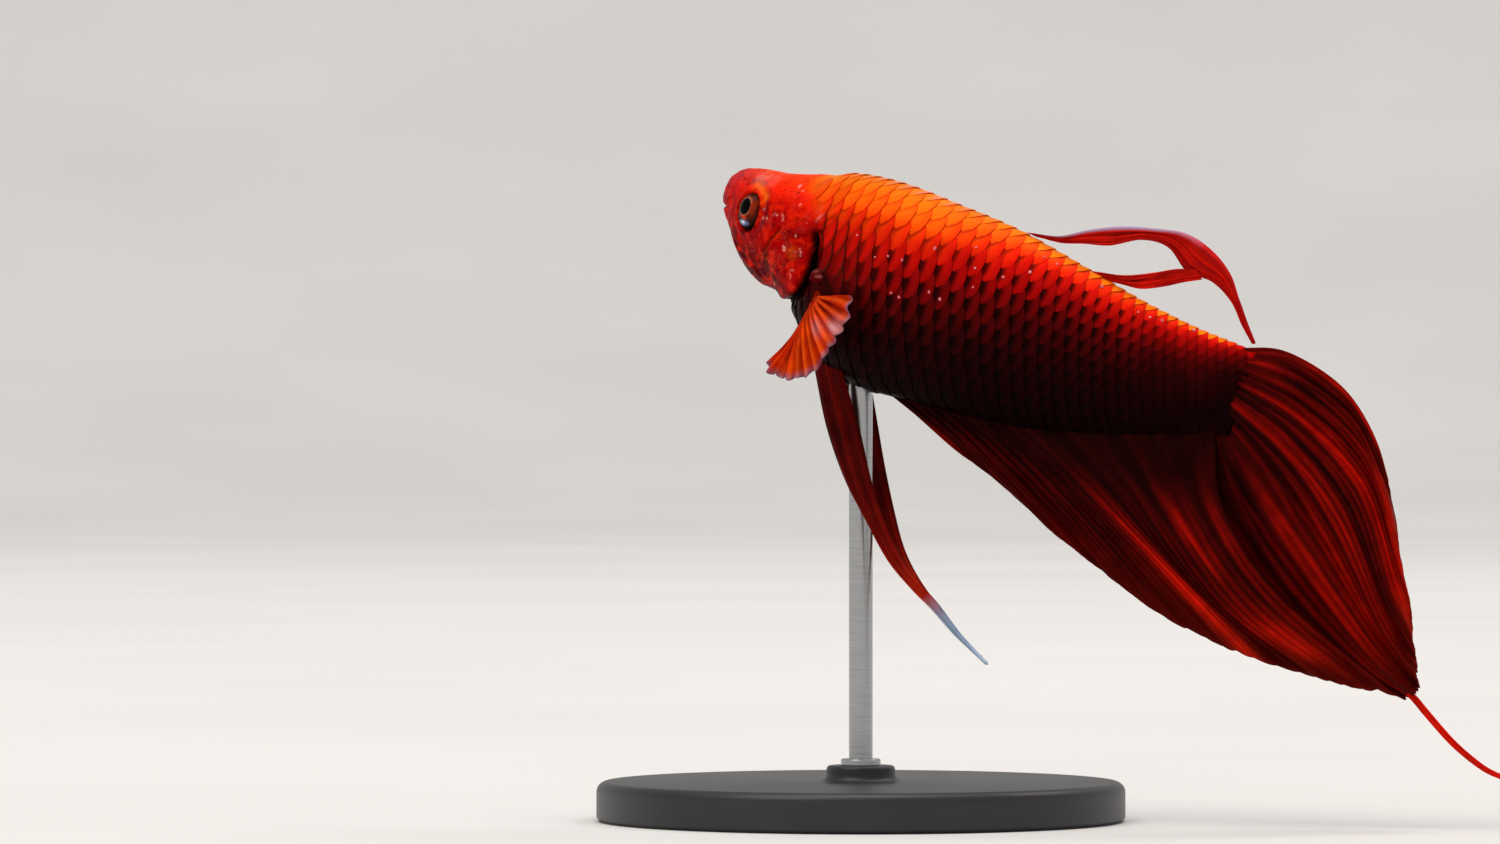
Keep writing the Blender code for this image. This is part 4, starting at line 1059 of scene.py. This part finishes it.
def makeEyeFinish():
    # a wet cornea over the eye: black lens, thin copper ring, olive and brick iris, and low in it a pale blue
    # patch, partly silvery iris and partly painted reflection, with a painted white highlight
    finish, place, add = newFinish("fishEyeCornea")
    back, up, _ = readMark(add, "iris")
    flat = add("CombineXYZ", [back, up])
    fleck = add("TexNoise", {"Vector": place, "Scale": 1000 / 0.25, "Detail": 3.0})
    uneven = add("MapRange", [fleck, 0.3, 0.7, -0.06, 0.06])
    pupil = (1 / eye["pupil"], 1 / eye["pupilUp"], 0)
    away = add("VectorMath", [flat, pupil], **times)
    away = add("VectorMath", [away], "Value", operation="LENGTH")
    away = add("Math", [away, uneven], **plus)
    # the stops run from the middle of the pupil to three times its size
    third = add("Math", [away, 1 / 3], **times)
    shade = add("ValToRGB", [third], stops=[
        (0.0, "#020203"), (0.32, "#040405"), (0.345, "#B86A54"), (0.375, "#A04830"), (0.41, "#5A1A0C"),
        (0.56, "#4A180C"), (0.68, "#2A1406"), (0.82, "#160A04"), (1.0, "#0C0503")])
    lines = add("MapRange", [fleck, 0.35, 0.6, 0.45, 1.0])
    for centre, size, turn, core, reach, code in irisPatches:
        patch = add("Mapping", {"Vector": flat, "Location": (*centre, 0), "Scale": (*size, 1),
                                "Rotation": (0, 0, math.radians(turn))}, vector_type="TEXTURE")
        patch = add("VectorMath", [patch], "Value", operation="LENGTH")
        patch = add("MapRange", [patch, core, reach, 1.0, 0.0], **smoothStep)
        patch = add("Math", [patch, lines], **times)
        shade = addLayers(add, shade, [(patch, code)])
    lens = add("MapRange", [away, 0.98, 0.9])
    shade = addLayers(add, shade, [(lens, "#020203")])
    return setSurface(finish, add, shade, fleck, 0.1, 0.02,
                      Roughness=0.25, Specular_IOR_Level=0.02, Coat_Weight=0.04, Coat_Roughness=0.02)


eyeFinish = makeEyeFinish()
for name, mirror, node in (("eyeLeft", -1, "eye_left"), ("eyeRight", 1, "eye_right")):
    finishPiece(makeEye(name, mirror), eyeFinish, "eye", node)
print("eyes made")


def turnUp(name, rings, centre=(0, 0), sides=128, inside=False, closed=True):
    # a piece turned about an upright axis: each next ring of (radius, height) is drawn out of the one before
    wide, high = rings[0]
    bpy.ops.mesh.primitive_circle_add(vertices=sides, radius=wide, fill_type="NGON", location=(*centre, high))
    piece = bpy.context.object
    piece.name = name
    bpy.ops.object.transform_apply(location=True)
    bpy.ops.object.mode_set(mode="EDIT")
    bpy.ops.mesh.select_mode(type="EDGE")
    bpy.ops.mesh.select_all(action="SELECT")
    bpy.ops.mesh.region_to_loop()
    for nextWide, nextHigh in rings[1:]:
        bpy.ops.mesh.extrude_edges_move(TRANSFORM_OT_translate={"value": (0, 0, nextHigh - high)})
        widen = nextWide / wide
        bpy.ops.transform.resize(value=(widen, widen, 1), center_override=(*centre, nextHigh))
        wide, high = nextWide, nextHigh
    if closed:
        bpy.ops.mesh.fill()
    closeMesh(crease=40, inside=inside)
    return piece


def quarterTurns(steps):
    return [math.pi / 2 * k / steps for k in range(steps + 1)]


def cornerRings(radius, height, size, steps=8):
    # rings of a quarter round that ends at this radius on top
    return [(radius - size + size * math.cos(turn), height - size + size * math.sin(turn))
            for turn in quarterTurns(steps)]


# Stand: a low turned base with a small boss, and a bare rod with a thin collar that goes up into the belly.
stand = {"corner": 0.8, "bossRadius": 2.6, "foot": 0.6, "edge": 0.3, "hole": 1.15, "socket": 1.0,
         "baseHeight": 3.0, "collar": 1.5, "collarHeight": 0.5, "collarFoot": 0.05, "collarEdge": 0.12}


def makeStand():
    low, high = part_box("stand_base")
    rodLow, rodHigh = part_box("stand_rod")
    centre = tuple((low[k] + high[k]) / 2 for k in (0, 1))
    radius, top, deck = (high[0] - low[0]) / 2 / mm, high[2] / mm, stand["baseHeight"]
    rod, rodTop = (rodHigh[0] - rodLow[0]) / 2 / mm, rodHigh[2] / mm
    baseRings = [(radius - stand["edge"], 0.0), (radius, stand["edge"])]
    baseRings += cornerRings(radius, deck, stand["corner"])
    # the hollow round at the foot of the boss
    baseRings += [(stand["bossRadius"] + stand["foot"] * (1 - math.sin(turn)),
                   deck + stand["foot"] * (1 - math.cos(turn))) for turn in quarterTurns(8)]
    baseRings += cornerRings(stand["bossRadius"], top, stand["edge"], 4)
    baseRings += [(stand["hole"], top), (stand["hole"], stand["socket"])]
    collarTop = top + stand["collarHeight"]
    rodRings = [(rod, rodLow[2] / mm), (rod, top), (stand["collar"] - stand["collarFoot"], top),
                (stand["collar"], top + stand["collarFoot"])]
    rodRings += cornerRings(stand["collar"], collarTop, stand["collarEdge"], 4)
    rodRings += [(rod, collarTop), (rod, rodTop)]
    return [turnUp(name, [(wide * mm, high * mm) for wide, high in rings], centre)
            for name, rings in (("standBase", baseRings), ("standRod", rodRings))]


def makeStandPaint():
    # sprayed metal: a soft sheen and a very fine orange peel
    finish, place, add = newFinish("satinCharcoalPaint")
    cloud = add("TexNoise", {"Vector": place, "Scale": 1000 / 9, "Detail": 3.0})
    shade = add("ValToRGB", [cloud], stops=[(0.35, "#26272A"), (0.65, "#2C2E31")])
    peel = add("TexNoise", {"Vector": place, "Scale": 1000 / 0.35, "Detail": 2.0})
    return setSurface(finish, add, shade, peel, 0.12, 0.02, Roughness=0.42, Specular_IOR_Level=0.4)


def makeStandSteel():
    # bare metal with fine rings left by turning
    finish, place, add = newFinish("brushedSteel")
    streak = add("Mapping", {"Vector": place, "Scale": (1000 / 5, 1000 / 5, 1000 / 0.06)})
    streak = add("TexNoise", {"Vector": streak, "Scale": 1.0, "Detail": 3.0})
    shade = add("ValToRGB", [streak], stops=[(0.3, "#9A9C9E"), (0.7, "#B8BABC")])
    return setSurface(finish, add, shade, streak, 0.2, 0.01, Metallic=1.0, Roughness=0.3)


standBase, standRod = makeStand()
finishPiece(standBase, makeStandPaint(), "stand_paint", "stand_base")
finishPiece(standRod, makeStandSteel(), "stand_steel", "stand_rod")
print("stand made")


# Stage: a wide round floor that sweeps up at its rim, soft lights above, and the camera low beside the fish.
# Floor, lights and what they look at are in metres, the camera's place is in mm.
floorShape = {"radius": 1.5, "sweep": 1.0, "steps": 14}
lights = [("keyLight", (-0.5, -1.0, 2.2), 1.3, 23.0, "#FFF8F0"),
          ("topLight", (0.1, 0.3, 2.4), 1.2, 21.0, "#FFFFFF"),
          ("rimLight", (0.6, 1.2, 1.5), 0.5, 6.0, "#FFE6EA")]
lightAim = Vector((0.01, 0, 0.03))
air = {"colour": "#E8ECF0", "strength": 0.45}
camera = {"azimuth": math.radians(30), "distance": 600, "right": 1.84, "down": 16.74, "lens": 187.5,
          "clipStart": 0.05}


def makePaper():
    # matt seamless paper, faintly uneven
    finish, place, add = newFinish("paleStudioPaper")
    cloud = add("TexNoise", {"Vector": place, "Scale": 9.0, "Detail": 2.0})
    shade = add("ValToRGB", [cloud], stops=[(0.3, "#E4E2DE"), (0.7, "#EAE8E4")])
    grain = add("TexNoise", {"Vector": place, "Scale": 1200.0, "Detail": 2.0})
    return setSurface(finish, add, shade, grain, 0.1, 0.1, Roughness=0.85, Specular_IOR_Level=0.2)


def makeFloor():
    rings = [(floorShape["radius"] + floorShape["sweep"] * math.sin(turn),
              floorShape["sweep"] * (1 - math.cos(turn))) for turn in quarterTurns(floorShape["steps"])]
    floor = turnUp("studioFloor", rings, inside=True, closed=False)
    floor.data.materials.append(makePaper())


def makeLights():
    for name, place, size, power, tint in lights:
        bpy.ops.object.light_add(type="AREA", location=place)
        light = bpy.context.object
        light.name = name
        light.rotation_euler = (lightAim - Vector(place)).to_track_quat("-Z", "Y").to_euler()
        light.data.size = size
        light.data.energy = power
        light.data.color = colour(tint)[:3]
    world = bpy.data.worlds.new("studioAir")
    world.use_nodes = True
    background = world.node_tree.nodes["Background"]
    background.inputs["Color"].default_value = colour(air["colour"])
    background.inputs["Strength"].default_value = air["strength"]
    bpy.context.scene.world = world


def makeCamera():
    azimuth = camera["azimuth"]
    toCamera = np.array((math.sin(azimuth), -math.cos(azimuth), 0))
    toRight = np.array((math.cos(azimuth), math.sin(azimuth), 0))
    place = fishShift + camera["distance"] * toCamera + camera["right"] * toRight - (0, 0, camera["down"])
    bpy.ops.object.camera_add(location=place * mm, rotation=(math.pi / 2, 0, azimuth))
    seen = bpy.context.object
    seen.data.lens = camera["lens"]
    seen.data.clip_start = camera["clipStart"]
    bpy.context.scene.camera = seen


makeFloor()
makeLights()
makeCamera()
bpy.context.scene.view_settings.view_transform = "Standard"
print("stage made")
